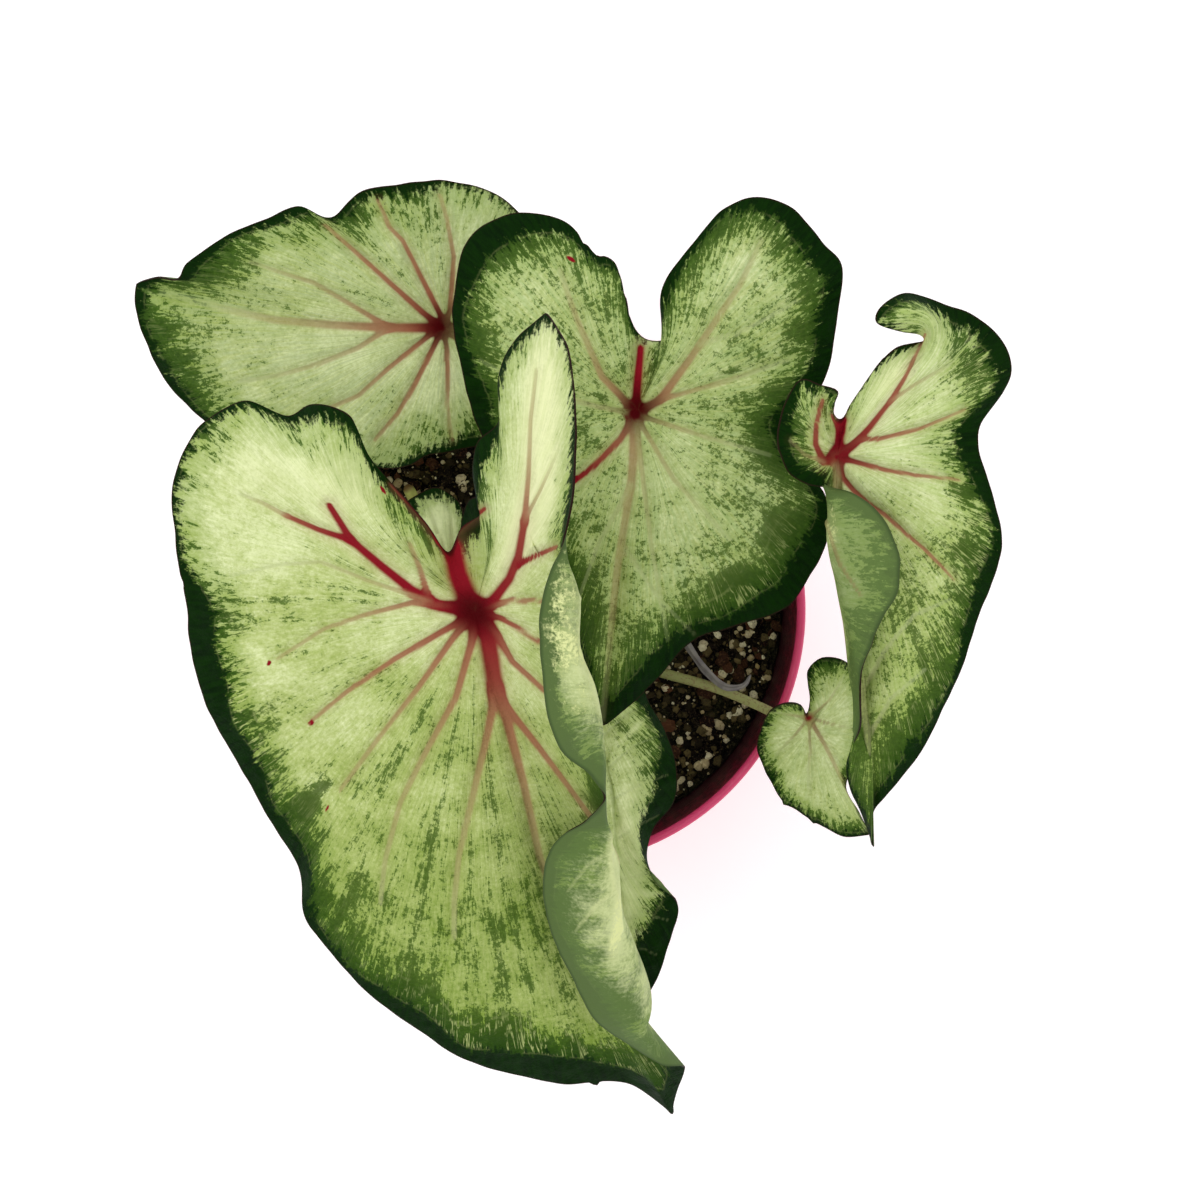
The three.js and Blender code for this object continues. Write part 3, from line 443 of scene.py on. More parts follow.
# Veins, drafted as the leaves are: width at the start and the end, redness at both, and x, y of the points
# passed. The first vein of each leaf starts at its heart.
veins = {
    "front": [
        (5.6, 4.4, 1, 1, [-18.5, -0.75, -20.75, 3.5, -22.75, 8.75, -24, 15]),
        (0.5, 0.7, 0.7, 1, [-39.75, 31.5, -33, 24.25, -29.75, 20.5, -28, 17, -25.25, 14.5]),
        (1.8, 0.9, 1, 0.9, [-24, 15.5, -24, 18.75, -22, 21, -19.25, 23, -16.25, 25.25]),
        (3.2, 1.4, 1, 0.9, [-18.5, -0.75, -27.5, 1, -34.25, 4.75, -41.5, 10.5, -49.5, 17.25, -55, 26]),
        (1.6, 1, 1, 0.75, [-49.5, 17.25, -57.75, 20, -65.75, 23.5]),
        (1, 0.5, 0.5, 0.1, [-65.75, 23.5, -71.75, 26.75, -77.5, 29]),
        (1.8, 0.9, 0.9, 0.4, [-29.8, 1.8, -32.25, 10, -34.75, 16.5]),
        (1, 0.4, 0.45, 0.05, [-29.75, 2, -46, 7.5, -57, 12, -68, 11.25, -79.75, 8.5]),
        (1.6, 0.6, 0.8, 0.25, [-24.75, 0.75, -34.25, 1.75, -46, -1.25, -56.25, -4.75, -68, -12.25]),
        (1.9, 0.8, 0.9, 0.45, [-18.5, -0.75, -25.5, -4.75, -38.5, -12.25, -50.25, -20.25, -59.75, -28]),
        (1.9, 0.8, 0.85, 0.3, [-18.5, -0.75, -24, -7, -32.75, -19.5, -41.5, -30.5, -52.25, -45]),
        (2.1, 0.8, 0.9, 0.15, [-18.5, -0.75, -19.5, -8.5, -23.25, -21.75, -31.25, -36.25, -37.25, -48.25,
          -41, -62.5, -42.25, -73.25]),
        (4.5, 3.6, 1, 0.8, [-18.5, -0.75, -15.75, -4.75, -14.5, -12.25, -13.25, -21]),
        (2.2, 0.9, 0.75, 0.15, [-13.25, -20, -15.25, -30.5, -18.75, -45.25, -22.5, -61.25, -23.75, -73.25,
          -23.75, -82]),
        (2.6, 0.8, 0.8, 0.05, [-13.25, -20, -10.75, -26.75, -6.25, -43.75, -2.25, -62, 4, -78.75, 11.5,
          -93.75, 20.5, -108.75, 24.75, -114, 27.5, -118.25, 30.5, -125.5]),
        (1.9, 0.9, 0.8, 0.4, [-13.25, -21, -2.75, -34.25, 5.5, -45.25, 12.75, -55, 17.75, -65]),
        (1.9, 0.9, 0.9, 0.5, [-18.5, -0.75, -13, -6.25, -9.25, -13, -1.25, -20.25, 10.25, -28.75]),
        (1.4, 0.8, 0.9, 0.6, [-18.5, -0.75, -12.25, -2, -2.75, -7.75, 7.25, -11.25]),
        (1.4, 0.8, 0.8, 0.4, [-18.5, -0.75, -9.25, 2.5, -2, 2.25, 7.25, 2.5]),
        (2.8, 1.6, 1, 0.8, [-18.5, -0.75, -14.5, 1.75, -10, 7.75, -7.75, 13.5, -6.25, 22.25]),
        (1.6, 0.6, 0.75, 0.2, [-6.25, 22.25, -5.25, 33.75, -4.75, 47.5, -3.25, 60]),
        (1.4, 0.9, 0.95, 0.75, [-7.75, 11.25, -3.5, 13.5, 1.75, 15.75]),
        (1, 0.4, 0.6, 0.1, [-6.25, 22.25, -2.25, 30, 2.25, 40]),
    ],
    "back": [
        (2.6, 1.2, 1, 0, [-26.5, 70.5, -40, 70.5, -54.75, 71.25, -68.75, 72.5, -79.25, 74.75, -96.75,
          79.5]),
        (1.4, 0.6, 0.7, 0.15, [-40, 70.5, -44, 73, -58.75, 81.75, -65.25, 83.75, -74.75, 87]),
        (1.4, 0.6, 0.6, 0.1, [-40, 70.5, -47.75, 65.5, -58.25, 61.25, -68, 58.5, -77.25, 57]),
        (1.7, 0.8, 0.9, 0.5, [-26.5, 70.5, -31.5, 74.25, -42, 83.75, -49, 90, -56, 96.25]),
        (1.5, 0.8, 0.9, 0.5, [-26.5, 70.5, -26.5, 72.5, -33, 85.25, -36.5, 92.25, -40, 95.75, -42.75,
          102.5]),
        (1.5, 0.8, 0.8, 0.4, [-26.5, 70.5, -24.75, 74.75, -23.75, 88, -25.5, 97.75, -27.25, 103.75]),
        (1.4, 0.8, 0.85, 0.35, [-26.5, 70.5, -29.75, 68.75, -40, 60.5, -47.75, 53.5, -56, 50]),
        (1.5, 0.8, 0.85, 0.45, [-26.5, 70.5, -28, 67.5, -33.5, 56.5, -37.75, 49.25, -43.5, 42.5]),
        (1.3, 0.7, 0.8, 0.4, [-26.5, 70.5, -25.5, 65, -25.25, 56.5, -25.5, 51.5, -24.25, 42.5]),
        (1.6, 0.8, 0.8, 0.3, [-26.5, 70.5, -19.75, 71.25, -12.25, 77.5, -4.75, 87.5]),
        (1.6, 0.8, 0.8, 0.3, [-26.5, 70.5, -21, 66.25, -12.25, 58.75, -6, 53.75]),
    ],
    "middle": [
        (2.8, 1.5, 1, 1, [21.5, 49, 22.25, 57.5, 23, 65.5]),
        (2.1, 0.9, 0.75, 0.15, [21.5, 49, 17.75, 53.75, 13.25, 58.25, 6.5, 73.75, 2.75, 85]),
        (2.5, 0.9, 0.8, 0.15, [21.5, 49, 27.75, 52.5, 34.75, 62, 41.5, 72, 47.75, 81.25, 53.25, 92.5]),
        (1.2, 0.6, 0.6, 0.05, [27.75, 52.5, 45.5, 57.5, 60.25, 62.5]),
        (1.2, 0.6, 0.5, 0.05, [21.5, 49, 39, 43.25, 55.25, 38.75]),
        (1.2, 0.6, 0.5, 0.05, [21.5, 49, 31.25, 32.5, 45.25, 17.5]),
        (1.2, 0.6, 0.4, 0.05, [21.5, 49, 25.5, 16.75, 29.75, -7.5]),
        (1.6, 1.2, 0.5, 0.9, [21.5, 49, 17.75, 42.5, 11.25, 36, 6.75, 32.5]),
        (2.4, 1, 0.6, 0.15, [21.5, 49, 21.25, 45, 21, 37.5, 20.5, 31, 17.5, 13.25, 16.25, 2.5, 13.25,
          -29.25]),
        (1.2, 0.6, 0.3, 0.05, [21.5, 49, 10.25, 51.25, -4.75, 55, -17.25, 62.5]),
        (1, 0.4, 0.2, 0.05, [20.5, 31, 12.75, 17.5, 7.25, 2.5]),
        (1, 0.4, 0.15, 0.05, [18.25, 16.25, 27.75, 2.5, 37.75, -7.5]),
        (1, 0.4, 0.15, 0.05, [37.75, 66.25, 49, 70, 62.75, 77.5]),
    ],
    "right": [
        (2.7, 1.9, 1, 1, [72, 38.25, 73, 44.5, 73.5, 47.25]), (1.3, 0.7, 1, 0.8, [73, 44.5, 70.75, 48.5]),
        (2.1, 0.8, 1, 0.75, [72, 38.25, 68.75, 37, 66.75, 41.25, 66.75, 45.75, 68.25, 52.5]),
        (2.2, 0.7, 1, 0.65, [72, 38.25, 76.25, 41.25, 80, 45.25, 85.25, 52, 88.75, 57.75, 92, 64.5, 94,
          68.75]),
        (0.9, 0.5, 0.6, 0.1, [85.25, 52, 91.5, 56.25, 100.25, 61.25]),
        (1.4, 0.6, 0.9, 0.5, [72, 38.25, 77.75, 42.5, 82.75, 42.75, 92.75, 45.25, 104, 50]),
        (1.5, 0.6, 0.95, 0.5, [72, 38.25, 74.75, 37.5, 79.25, 36.25, 84, 35, 91, 33.75, 102.75, 32.5]),
        (1.6, 0.6, 0.95, 0.5, [72, 38.25, 73.5, 33, 76.25, 29.75, 80.25, 26.25, 84, 23.75, 89, 19.25,
          93.75, 15.25, 101.5, 7.5]),
        (1.9, 1, 0.5, 0.1, [72, 38.25, 72.25, 22.5, 74, 2.5, 76.75, -15, 78.5, -22.5, 79.75, -32, 80,
          -40.75, 80.25, -46, 80.5, -50, 80.25, -55]),
        (0.9, 0.5, 0.2, 0.05, [78.5, -20, 84, -10, 91.5, -1.25, 100.25, 2.5]),
        (0.9, 0.5, 0.2, 0.05, [79.75, -32, 85.25, -22.5, 94, -15]),
        (1, 0.6, 0.6, 0.2, [68.75, 37, 64, 38.75, 60.25, 42.5]),
    ],
    "under": [
        (0.6, 0.1, 0.1, 0, [4.75, -11.25, 9, -22.5, 12.75, -32.5, 15.75, -45, 17.25, -65, 19, -78.75,
          20.75, -87.5, 23.25, -98.5]),
        (0.3, 0.1, 0.05, 0, [12.75, -32.5, 19, -26.25, 24.75, -23.75]),
        (0.3, 0.1, 0.05, 0, [14.25, -40, 21.5, -33.75, 28.25, -31.25]),
        (0.3, 0.1, 0.05, 0, [15.75, -47.5, 22.75, -43.75, 29.75, -41.25]),
        (0.3, 0.1, 0.05, 0, [16.75, -57.5, 22.75, -53.75, 27.75, -51.25]),
        (0.3, 0.1, 0.05, 0, [17.5, -67.5, 22.75, -66.25, 29, -68.75]),
        (0.3, 0.1, 0.05, 0, [18.75, -77.5, 24, -76.25, 29.75, -77.5]),
        (0.3, 0.1, 0.05, 0, [19.75, -85, 24, -85, 26.75, -86.25]),
        (0.4, 0.1, 0.12, 0, [4.75, -11.25, -4.75, 2.5, -12.25, 15, -16.5, 26.25]),
        (0.3, 0.1, 0.08, 0, [4.75, -11.25, -2.25, -27.5, -8.5, -47.5]),
    ],
    "small": [
        (1.2, 0.4, 0.6, 0.1, [65, -27, 69, -33.75, 74, -43.75, 79.75, -55.5]),
        (0.8, 0.2, 0.52, 0.05, [65, -27, 61.5, -31.25, 56.5, -36.25]),
        (0.8, 0.2, 0.52, 0.05, [65, -27, 65.25, -35, 64.75, -45]),
        (0.8, 0.2, 0.52, 0.05, [65, -27, 70.25, -22.5, 74, -16.25]),
        (0.8, 0.2, 0.52, 0.05, [65, -27, 71.5, -28.75, 77.75, -30]),
        (0.8, 0.2, 0.52, 0.05, [65, -27, 60.25, -26.25, 55.25, -25.5]),
    ],
    "young": [
        (1.5, 0.6, 0.6, 0.1, [-24.25, 8, -24.75, -2.5, -24.25, -17.5]),
        (1, 0.4, 0.4, 0.05, [-24.25, 8, -27.25, 17.5, -31, 27.5]),
        (1, 0.4, 0.4, 0.05, [-24.25, 8, -24.25, 16.25, -24.75, 27.5]),
        (1, 0.4, 0.4, 0.05, [-24.25, 8, -31, 5, -37.25, 5]),
        (1, 0.4, 0.4, 0.05, [-24.25, 8, -18.5, 5, -14.75, 2.5]),
    ],
}
flapVeins = {  # veins on the turned-over side
    "front": [
        (1, 0.5, 0, 0, [15.5, -52.5, 14.25, -60, 16, -70, 17.5, -80]),
        (0.6, 0.3, 0, 0, [15, -60, 10, -63, 5, -70]), (0.6, 0.3, 0, 0, [16, -70, 12, -73, 7, -80]),
    ],
    "right": [(0.9, 0.5, 0.6, 0.4, [70, 22, 73, 12, 78, 4])],
}
hubReach = 200  # mm, the furthest that a blade keeps its distance from the hub
blotchVein = 1.2  # how strong a vein the heart is
leafBlotch = {  # mm, how far the red heart reaches
    "front": 2.5, "back": 1.9, "middle": 2.2, "right": 2.0, "under": 1.6, "small": 1.3, "young": 1.0,
}

# Spots and patches: place, length, width, turn in degrees and amount
redSpots = {
    "front": [(-70, -13.25, 0.9, 0.6, 60, 1), (-59.5, -28.25, 1.1, 0.6, 30, 1), (-41.5, 30, 1.3, 0.5, -60, 1),
              (-55.5, -49.5, 1.2, 0.5, 60, 0.8)],
    "middle": [(5.5, 87.75, 1.4, 0.6, -30, 1), (6.5, 32.5, 1.4, 0.7, 60, 1)],
}
greenAndShadePatches = {
    # the front leaf's third patch, where its edge stands up before the second roll, is partly painted shade
    # on the dark green margin
    "front": [(-60, -49.5, 3.5, 2.2, 50, 1), (-56, -44, 2.4, 1.4, 30, 0.8), (13, -47, 6, 3, 60, 0.5)],
    "middle": [(45.5, 7.5, 4, 3, 30, 0.7), (56.25, 20.25, 4, 3, 60, 0.7), (58, 40, 12, 8, 60, 0.25)],
}
flapPale = {
    "front": [(16.5, -57, 8, 2, 85, 0.7), (17.5, -76, 12, 2.2, 80, 0.8), (4, 4, 20, 6, 95, 0.38),
              (7, -18, 16, 7, 110, 0.38)],
    "right": [(70.5, 20, 9, 2.5, 85, 0.5)],
}
# pale patches of the upper faces; on the front leaf they are partly painted light, brighter on its steep
# right lobe and half and at its upper left
paleAndLitPatches = {
    "front": [(-1, 48, 34, 7, 88, 1), (-8, 17, 14, 4, 75, 0.8), (-70, 34, 20, 12, 0, 0.4),
              (-46, 34, 15, 9, 50, 0.6)],
    "middle": [(25.5, 67, 2.6, 1.3, 0, 0.9)],
    "under": [(20, -66, 30, 4.6, 84, 1), (24, -51, 8, 0.8, 30, 0.7), (24, -61, 8, 0.8, 15, 0.8),
              (25, -71, 8, 0.8, -5, 0.8), (25, -81, 7, 0.8, 0, 0.7), (21, -30, 6, 0.8, 45, 0.6)],
    "right": [(86, 60, 13, 7, 60, 0.8)],
}
bandThinning = {
    "front": [(1, 60, 26, 12, 85, 1), (-70, 48, 20, 12, 10, 0.6), (-90, 22, 24, 13, 90, 0.95),
              (-87, -18, 28, 14.5, 105, -1.3), (-4, -114, 44, 16, -15, -0.8)],
    "back": [(-16, 103, 20, 12, -20, 1), (-60, 38, 34, 12, 0, 0.7)],
    "middle": [(25.5, 66.5, 5, 4, 0, 1), (20, 85, 20, 12, 90, 0.8), (50, 2, 26, 12, 30, -0.5)],
    "right": [(78, 58, 20, 12, 60, 1), (80, -10, 40, 9, 90, 0.8)],
    "small": [(60, -16, 12, 10, 0, 0.6)],
}


def placed(points):
    points = np.array(points, float).reshape(-1, 3)
    nearer = 1 - (points[:, 2] - sight["rim"]) / sight["height"]
    points[:, 0] = sight["x"] + (points[:, 0] - sight["x"]) * nearer
    points[:, 1] = sight["y"] + (points[:, 1] - sight["y"]) * nearer
    return points


def linedUp(points):  # the reverse of placed, x and y only
    nearer = 1 - (points[..., 2] - sight["rim"]) / sight["height"]
    return np.stack([sight["x"] + (points[..., 0] - sight["x"]) / nearer,
                     sight["y"] + (points[..., 1] - sight["y"]) / nearer], -1)


def unit(vectors):
    return vectors / np.maximum(np.linalg.norm(vectors, axis=-1, keepdims=True), 1e-9)


def cubic(a, b, tangentA, tangentB, span, t):
    return (a * (2 * t ** 3 - 3 * t ** 2 + 1) + tangentA * (t ** 3 - 2 * t ** 2 + t) * span
            + b * (3 * t ** 2 - 2 * t ** 3) + tangentB * (t ** 3 - t ** 2) * span)


def tangentAt(before, here, after, spanBefore, spanAfter):
    return ((here - before) * (spanAfter / spanBefore)
            + (after - here) * (spanBefore / spanAfter)) / (spanBefore + spanAfter)


def closedTangents(points, spans):  # points: around, along, 3
    before = np.roll(points, 1, 0)
    after = np.roll(points, -1, 0)
    spanAfter = spans[:, None, None]
    spanBefore = np.roll(spans, 1)[:, None, None]
    slowest = np.minimum(np.linalg.norm(points - before, axis=2, keepdims=True) / spanBefore,
                         np.linalg.norm(after - points, axis=2, keepdims=True) / spanAfter)
    tangents = tangentAt(before, points, after, spanBefore, spanAfter)
    length = np.maximum(np.linalg.norm(tangents, axis=2, keepdims=True), 1e-9)
    return tangents * np.minimum(1, slowest * bladeBuild["tangentLimit"] / length)


def sampleRay(points, arch, normal, fold, shares):
    steps = points[1:] - points[:-1]
    spans = np.linalg.norm(steps, axis=1)
    length = spans.sum()
    last = len(points) - 1
    tangents = [steps[0] / spans[0]]
    for i in range(1, last):
        tangents.append(tangentAt(points[i - 1], points[i], points[i + 1], spans[i - 1], spans[i]))
    tangents.append(steps[-1] / spans[-1])
    tangents[0] = unit(tangents[0] - normal * bladeBuild["hubFlatness"] * tangents[0].dot(normal))
    foldShare = bladeBuild["foldShare"]
    way = shares * length
    if fold:
        before = spans[:fold].sum()
        beyond = before + (length - before) * (shares - foldShare) / (1 - foldShare)
        way = np.where(shares <= foldShare, before * shares / foldShare, beyond)
    ends = np.cumsum(spans)
    step = np.minimum(np.searchsorted(ends, way - 1e-9), last - 1)
    start = ends[step] - spans[step]
    share = np.clip((way - start) / spans[step], 0, 1)[:, None]
    tangents = np.array(tangents)
    samples = cubic(points[step], points[step + 1], tangents[step], tangents[step + 1],
                    spans[step][:, None], share)
    samples[:, 2] += arch * length * 4 * shares * (1 - shares)
    return samples


def edgeShift(places, share, around, leaf):
    # small irregular waves of the edge, with the leaf's own teeth and bites
    shift = np.zeros(len(share))
    for waves, amount, phase in edgeWaves:
        count = round(around * waves / 2)
        turns = 2 * math.pi * count * share + phase + 3 * np.sin(6 * math.pi * share + phase)
        shift += amount * np.sin(turns)
    for x, y, width, depth in leaf.get("teeth", []):
        shift += depth * np.exp(-(np.hypot(places[:, 0] - x, places[:, 1] - y) / width) ** 2)
    return shift


def bladeSurface(leaf):
    # The upper face as columns and rings, the way of each column along the edge, the length of the edge,
    # and where the blade is turned over.
    build = bladeBuild
    ringShares = 1 - (1 - np.arange(build["rings"] + 1) / build["rings"]) ** build["crowding"]
    hub = placed(leaf["hub"])[0]
    folds = [fold for fold, to, edge in leaf["rays"]]
    routes = [placed(to) for fold, to, edge in leaf["rays"]]
    legs = [unit(route[0] - hub) for route in routes]
    normal = unit(sum(np.cross(leg, legs[(i + 1) % len(legs)]) for i, leg in enumerate(legs)))
    rays = np.array([sampleRay(np.vstack([hub, route]), leaf["arch"], normal, fold, ringShares)
                     for route, fold in zip(routes, folds)])
    stretches = [np.vstack([route[-1:], placed(edge)])
                 for route, (fold, to, edge) in zip(routes, leaf["rays"])]
    edgePoints = np.vstack(stretches)
    chords = np.linalg.norm(np.roll(edgePoints, -1, 0) - edgePoints, axis=1)
    edgeTangents = closedTangents(edgePoints[:, None], np.sqrt(chords))[:, 0]
    firsts = np.cumsum([0] + [len(stretch) for stretch in stretches])
    for ray in leaf["corners"]:
        edgeTangents[firsts[ray]] *= build["cornerEase"]
    around = chords.sum()
    waves = round(around / build["rippleLength"])
    lengths = [chords[firsts[i]:firsts[i + 1]].sum() for i in range(len(rays))]
    raySpans = np.sqrt(lengths)
    ringTangents = closedTangents(rays, raySpans)

    columns, alongEdge, turned = [], [], []
    travelled = 0
    for i in range(len(rays)):
        after = (i + 1) % len(rays)
        passed = 0
        for here in range(firsts[i], firsts[i + 1]):
            following = (here + 1) % len(edgePoints)
            steps = 4 * max(1, round(chords[here] / (4 * build["columnStep"])))
            share = np.arange(steps)[:, None] / steps
            turn = (passed + chords[here] * share) / lengths[i]
            column = cubic(rays[i][None], rays[after][None], ringTangents[i][None],
                           ringTangents[after][None], raySpans[i], turn[:, :, None])
            rim = cubic(edgePoints[here], edgePoints[following], edgeTangents[here],
                        edgeTangents[following], math.sqrt(chords[here]), share)
            way = travelled + chords[here] * share[:, 0]
            rim[:, 2] += build["ripple"] * np.sin(2 * math.pi * waves * way / around)
            outward = unit(column[:, -1] - column[:, -4])
            rim = rim + outward * edgeShift(linedUp(rim), way / around, around, leaf)[:, None]
            pull = rim - column[:, -1]
            column = column + pull[:, None] * (ringShares ** build["edgePull"])[None, :, None]
            columns.append(column)
            alongEdge.append(way)
            turned.append((1 - turn[:, 0]) * bool(folds[i]) + turn[:, 0] * bool(folds[after]))
            passed += chords[here]
            travelled += chords[here]
    surface = np.concatenate(columns)
    reach = np.linalg.norm(surface[:, -1] - surface[:, 0], axis=1)
    reach = np.min([np.roll(reach, shift) for shift in range(-20, 21, 4)], axis=0)
    calmEnd = build["calmLimit"] * build["foldShare"]
    inner = np.clip((calmEnd - ringShares) / build["calmFade"], 0, 1)[None, :, None]
    wide = (reach - build["calmFrom"]) / (build["calmFull"] - build["calmFrom"])
    inner = inner * np.clip(wide, 0, 1)[:, None, None]
    for again in range(build["calming"]):
        beside = (np.roll(surface, build["calmReach"], 0) + np.roll(surface, -build["calmReach"], 0)) / 2
        surface = surface + build["calmShare"] * inner * (beside - surface)
    overturned = (np.concatenate(turned)[:, None] > 0.5) & (ringShares[None] > build["foldShare"])
    return surface, np.concatenate(alongEdge), around, overturned


def marginDistance(surface):  # shortest way over the blade to its edge, found ring by ring
    distance = np.zeros(surface.shape[:2])
    reach = 6
    for k in range(surface.shape[1] - 2, -1, -1):
        ways = [np.linalg.norm(surface[:, k] - np.roll(surface[:, k + 1], shift, 0), axis=1)
                + np.roll(distance[:, k + 1], shift) for shift in range(-reach, reach + 1)]
        distance[:, k] = np.min(ways, axis=0)
        for shift in (1, -1):
            step = np.linalg.norm(surface[:, k] - np.roll(surface[:, k], shift, 0), axis=1)
            distance[:, k] = np.minimum(distance[:, k], np.roll(distance[:, k], shift) + step)
    return distance


def faceDirections(surface):
    around = np.roll(surface, -1, 0) - np.roll(surface, 1, 0)
    along = np.gradient(surface, axis=1)
    normals = np.cross(along, around)
    normals[:, 0] = unit(normals[:, 1]).sum(0)
    normals = unit(normals)
    for again in range(bladeBuild["smoothings"]):
        normals = unit(normals + 0.5 * (np.roll(normals, 1, 0) + np.roll(normals, -1, 0)))
        inner = normals.copy()
        inner[:, 1:-1] += 0.5 * (normals[:, 2:] + normals[:, :-2])
        normals = unit(inner)
    normals[:, 0] = unit(normals[:, 0].sum(0))
    return normals


def veinFields(places, lines):
    # How much of a vein lies at each place (a half at its edge), a soft band round all, and redness.
    vein = np.zeros(places.shape[:2])
    band = np.zeros(places.shape[:2])
    redSum = np.zeros(places.shape[:2])
    for widthStart, widthEnd, redStart, redEnd, route in lines:
        route = np.array(route, float).reshape(-1, 2)
        steps = np.linalg.norm(route[1:] - route[:-1], axis=1)
        gone = np.concatenate([[0], np.cumsum(steps)]) / steps.sum()
        own = np.zeros(places.shape[:2])
        ownRed = np.zeros(places.shape[:2])
        for i, step in enumerate(steps):
            leg = (route[i + 1] - route[i]) / step
            offset = places - route[i]
            share = np.clip(offset @ leg / step, 0, 1)
            apart = np.linalg.norm(offset - share[..., None] * step * leg, axis=-1)
            along = gone[i] + (gone[i + 1] - gone[i]) * share
            red = redStart + (redEnd - redStart) * along ** 0.6
            width = widthStart + (widthEnd - widthStart) * np.sqrt(along) + 0.6 * np.clip(0.5 - red, 0, 1)
            here = np.exp(-math.log(2) * (2 * apart / width) ** 2)
            ownRed = np.where(here > own, red, ownRed)
            own = np.maximum(own, here)
            band = np.maximum(band, np.exp(-(apart / (1.0 + 0.8 * width)) ** 2) * (0.25 + 0.75 * red))
        vein += own
        redSum += own * ownRed
    redness = redSum / np.maximum(vein, 1e-6)
    return vein, band, redness


def spotField(places, spots):
    field = np.zeros(places.shape[:2])
    for x, y, length, width, turn, amount in spots:
        offset = places - (x, y)
        angle = math.radians(turn)
        along = offset[..., 0] * math.cos(angle) + offset[..., 1] * math.sin(angle)
        across = offset[..., 1] * math.cos(angle) - offset[..., 0] * math.sin(angle)
        field += amount * np.exp(-(along / length) ** 2 - (across / width) ** 2)
    return field


def gridFaces(count, rings):
    # Rings have fewer columns near the hub. Returns the point that each grid place uses, and the faces.
    coarse, medium = bladeBuild["coarseTo"] * rings, bladeBuild["mediumTo"] * rings
    stride = [4 if k < coarse else 2 if k < medium else 1 for k in range(rings + 1)]
    index = np.full((count, rings + 1), -1)
    index[:, 0] = 0
    used = [(0, 0)]
    for k in range(1, rings + 1):
        for i in range(0, count, stride[k]):
            index[i, k] = len(used)
            used.append((i, k))
    faces = []
    for i in range(0, count, stride[1]):
        faces.append((0, index[i, 1], index[(i + stride[1]) % count, 1]))
    for k in range(1, rings):
        wide, fine = stride[k], stride[k + 1]
        for i in range(0, count, wide):
            j = (i + wide) % count
            if fine == wide:
                faces.append((index[i, k], index[i, k + 1], index[j, k + 1], index[j, k]))
            else:
                middle = index[i + fine, k + 1]
                faces.append((index[i, k], index[i, k + 1], middle))
                faces.append((index[i, k], middle, index[j, k]))
                faces.append((index[j, k], middle, index[j, k + 1]))
    return index, np.array(used), faces


def makeBlade(name):
    surface, alongEdge, around, overturned = bladeSurface(leaves[name])
    count, rings = surface.shape[0], surface.shape[1] - 1
    margin = marginDistance(surface)
    normals = faceDirections(surface)
    plan = linedUp(surface)
    vein, band, redness = veinFields(plan, veins[name])
    fromHub = np.linalg.norm(surface - surface[:, :1], axis=2)
    fromHeart = np.linalg.norm(plan - veins[name][0][4][:2], axis=2)
    blotch = np.exp(-(fromHeart / leafBlotch[name]) ** 2)
    redness = np.maximum(redness, blotch)
    vein = vein + blotchVein * blotch
    onFlap = veinFields(plan, flapVeins.get(name, []))
    vein, band, redness = (np.where(overturned, turned, own)
                           for turned, own in zip(onFlap, (vein, band, redness)))

    build = bladeBuild
    ridge = np.minimum(vein, 1)
    sink = build["veinSink"] * ridge * np.clip(fromHub / build["sinkReach"], 0, 1)
    thickness = build["thickness"] + (build["hubThickness"] - build["thickness"]) * np.exp(
        -(fromHub / build["hubSpread"]) ** 2)
    rib = build["ribRise"] * ridge * np.clip(margin / build["ribReach"], 0.1, 1)
    upper = surface - normals * sink[..., None]
    lower = surface - normals * (thickness + rib)[..., None]

    index, used, faces = gridFaces(count, rings)
    size = len(used)
    columns, levels = used.T
    points = np.vstack([upper[columns, levels], lower[columns, levels]])
    allFaces = faces + [tuple(size + corner for corner in reversed(face)) for face in faces]
    for i in range(count):
        here, beside = index[i, rings], index[(i + 1) % count, rings]
        allFaces.append((here, here + size, beside + size, beside))
    slots = [0] * len(faces) + [1] * len(faces) + [0] * count
    piece = newPiece("blade_" + name, points, allFaces, [leafTops[name], leafUnders[name]], slots)
    mesh = piece.data

    # the margin map: millimetres along the edge, and in from it
    base = cornerPoints(mesh) % size
    way = alongEdge[columns[base]]
    totals = np.zeros(len(mesh.polygons), int)
    mesh.polygons.foreach_get("loop_total", totals)
    ownFace = np.repeat(np.arange(len(totals)), totals)
    furthest = np.zeros(len(totals))
    np.maximum.at(furthest, ownFace, way)
    way = np.where((way == 0) & (furthest[ownFace] > around / 2), around, way)
    mapPlaces(mesh, "margin", way, margin[columns, levels][base])

    def keep(attribute, fields):
        values = np.stack(fields, -1)[columns, levels]
        layer = mesh.color_attributes.new(attribute, "FLOAT_COLOR", "POINT")
        layer.data.foreach_set("color", np.vstack([values, values]).ravel())

    keep("veins", [np.minimum(vein, 1), band, redness, np.minimum(fromHub / hubReach, 1)])
    onTop = [spotField(plan, spots.get(name, []))
             for spots in (redSpots, greenAndShadePatches, paleAndLitPatches, bandThinning)]
    # the pale channel: pale colour, and on the front leaf's upper face partly painted light
    pale = np.where(overturned, spotField(plan, flapPale.get(name, [])), onTop[2])
    keep("spots", [np.where(overturned, 0, onTop[0]), np.where(overturned, 0, onTop[1]), pale, onTop[3]])
    mesh.set_sharp_from_angle(angle=math.radians(60))
    settle(piece, "leaf", "leaf_" + name)


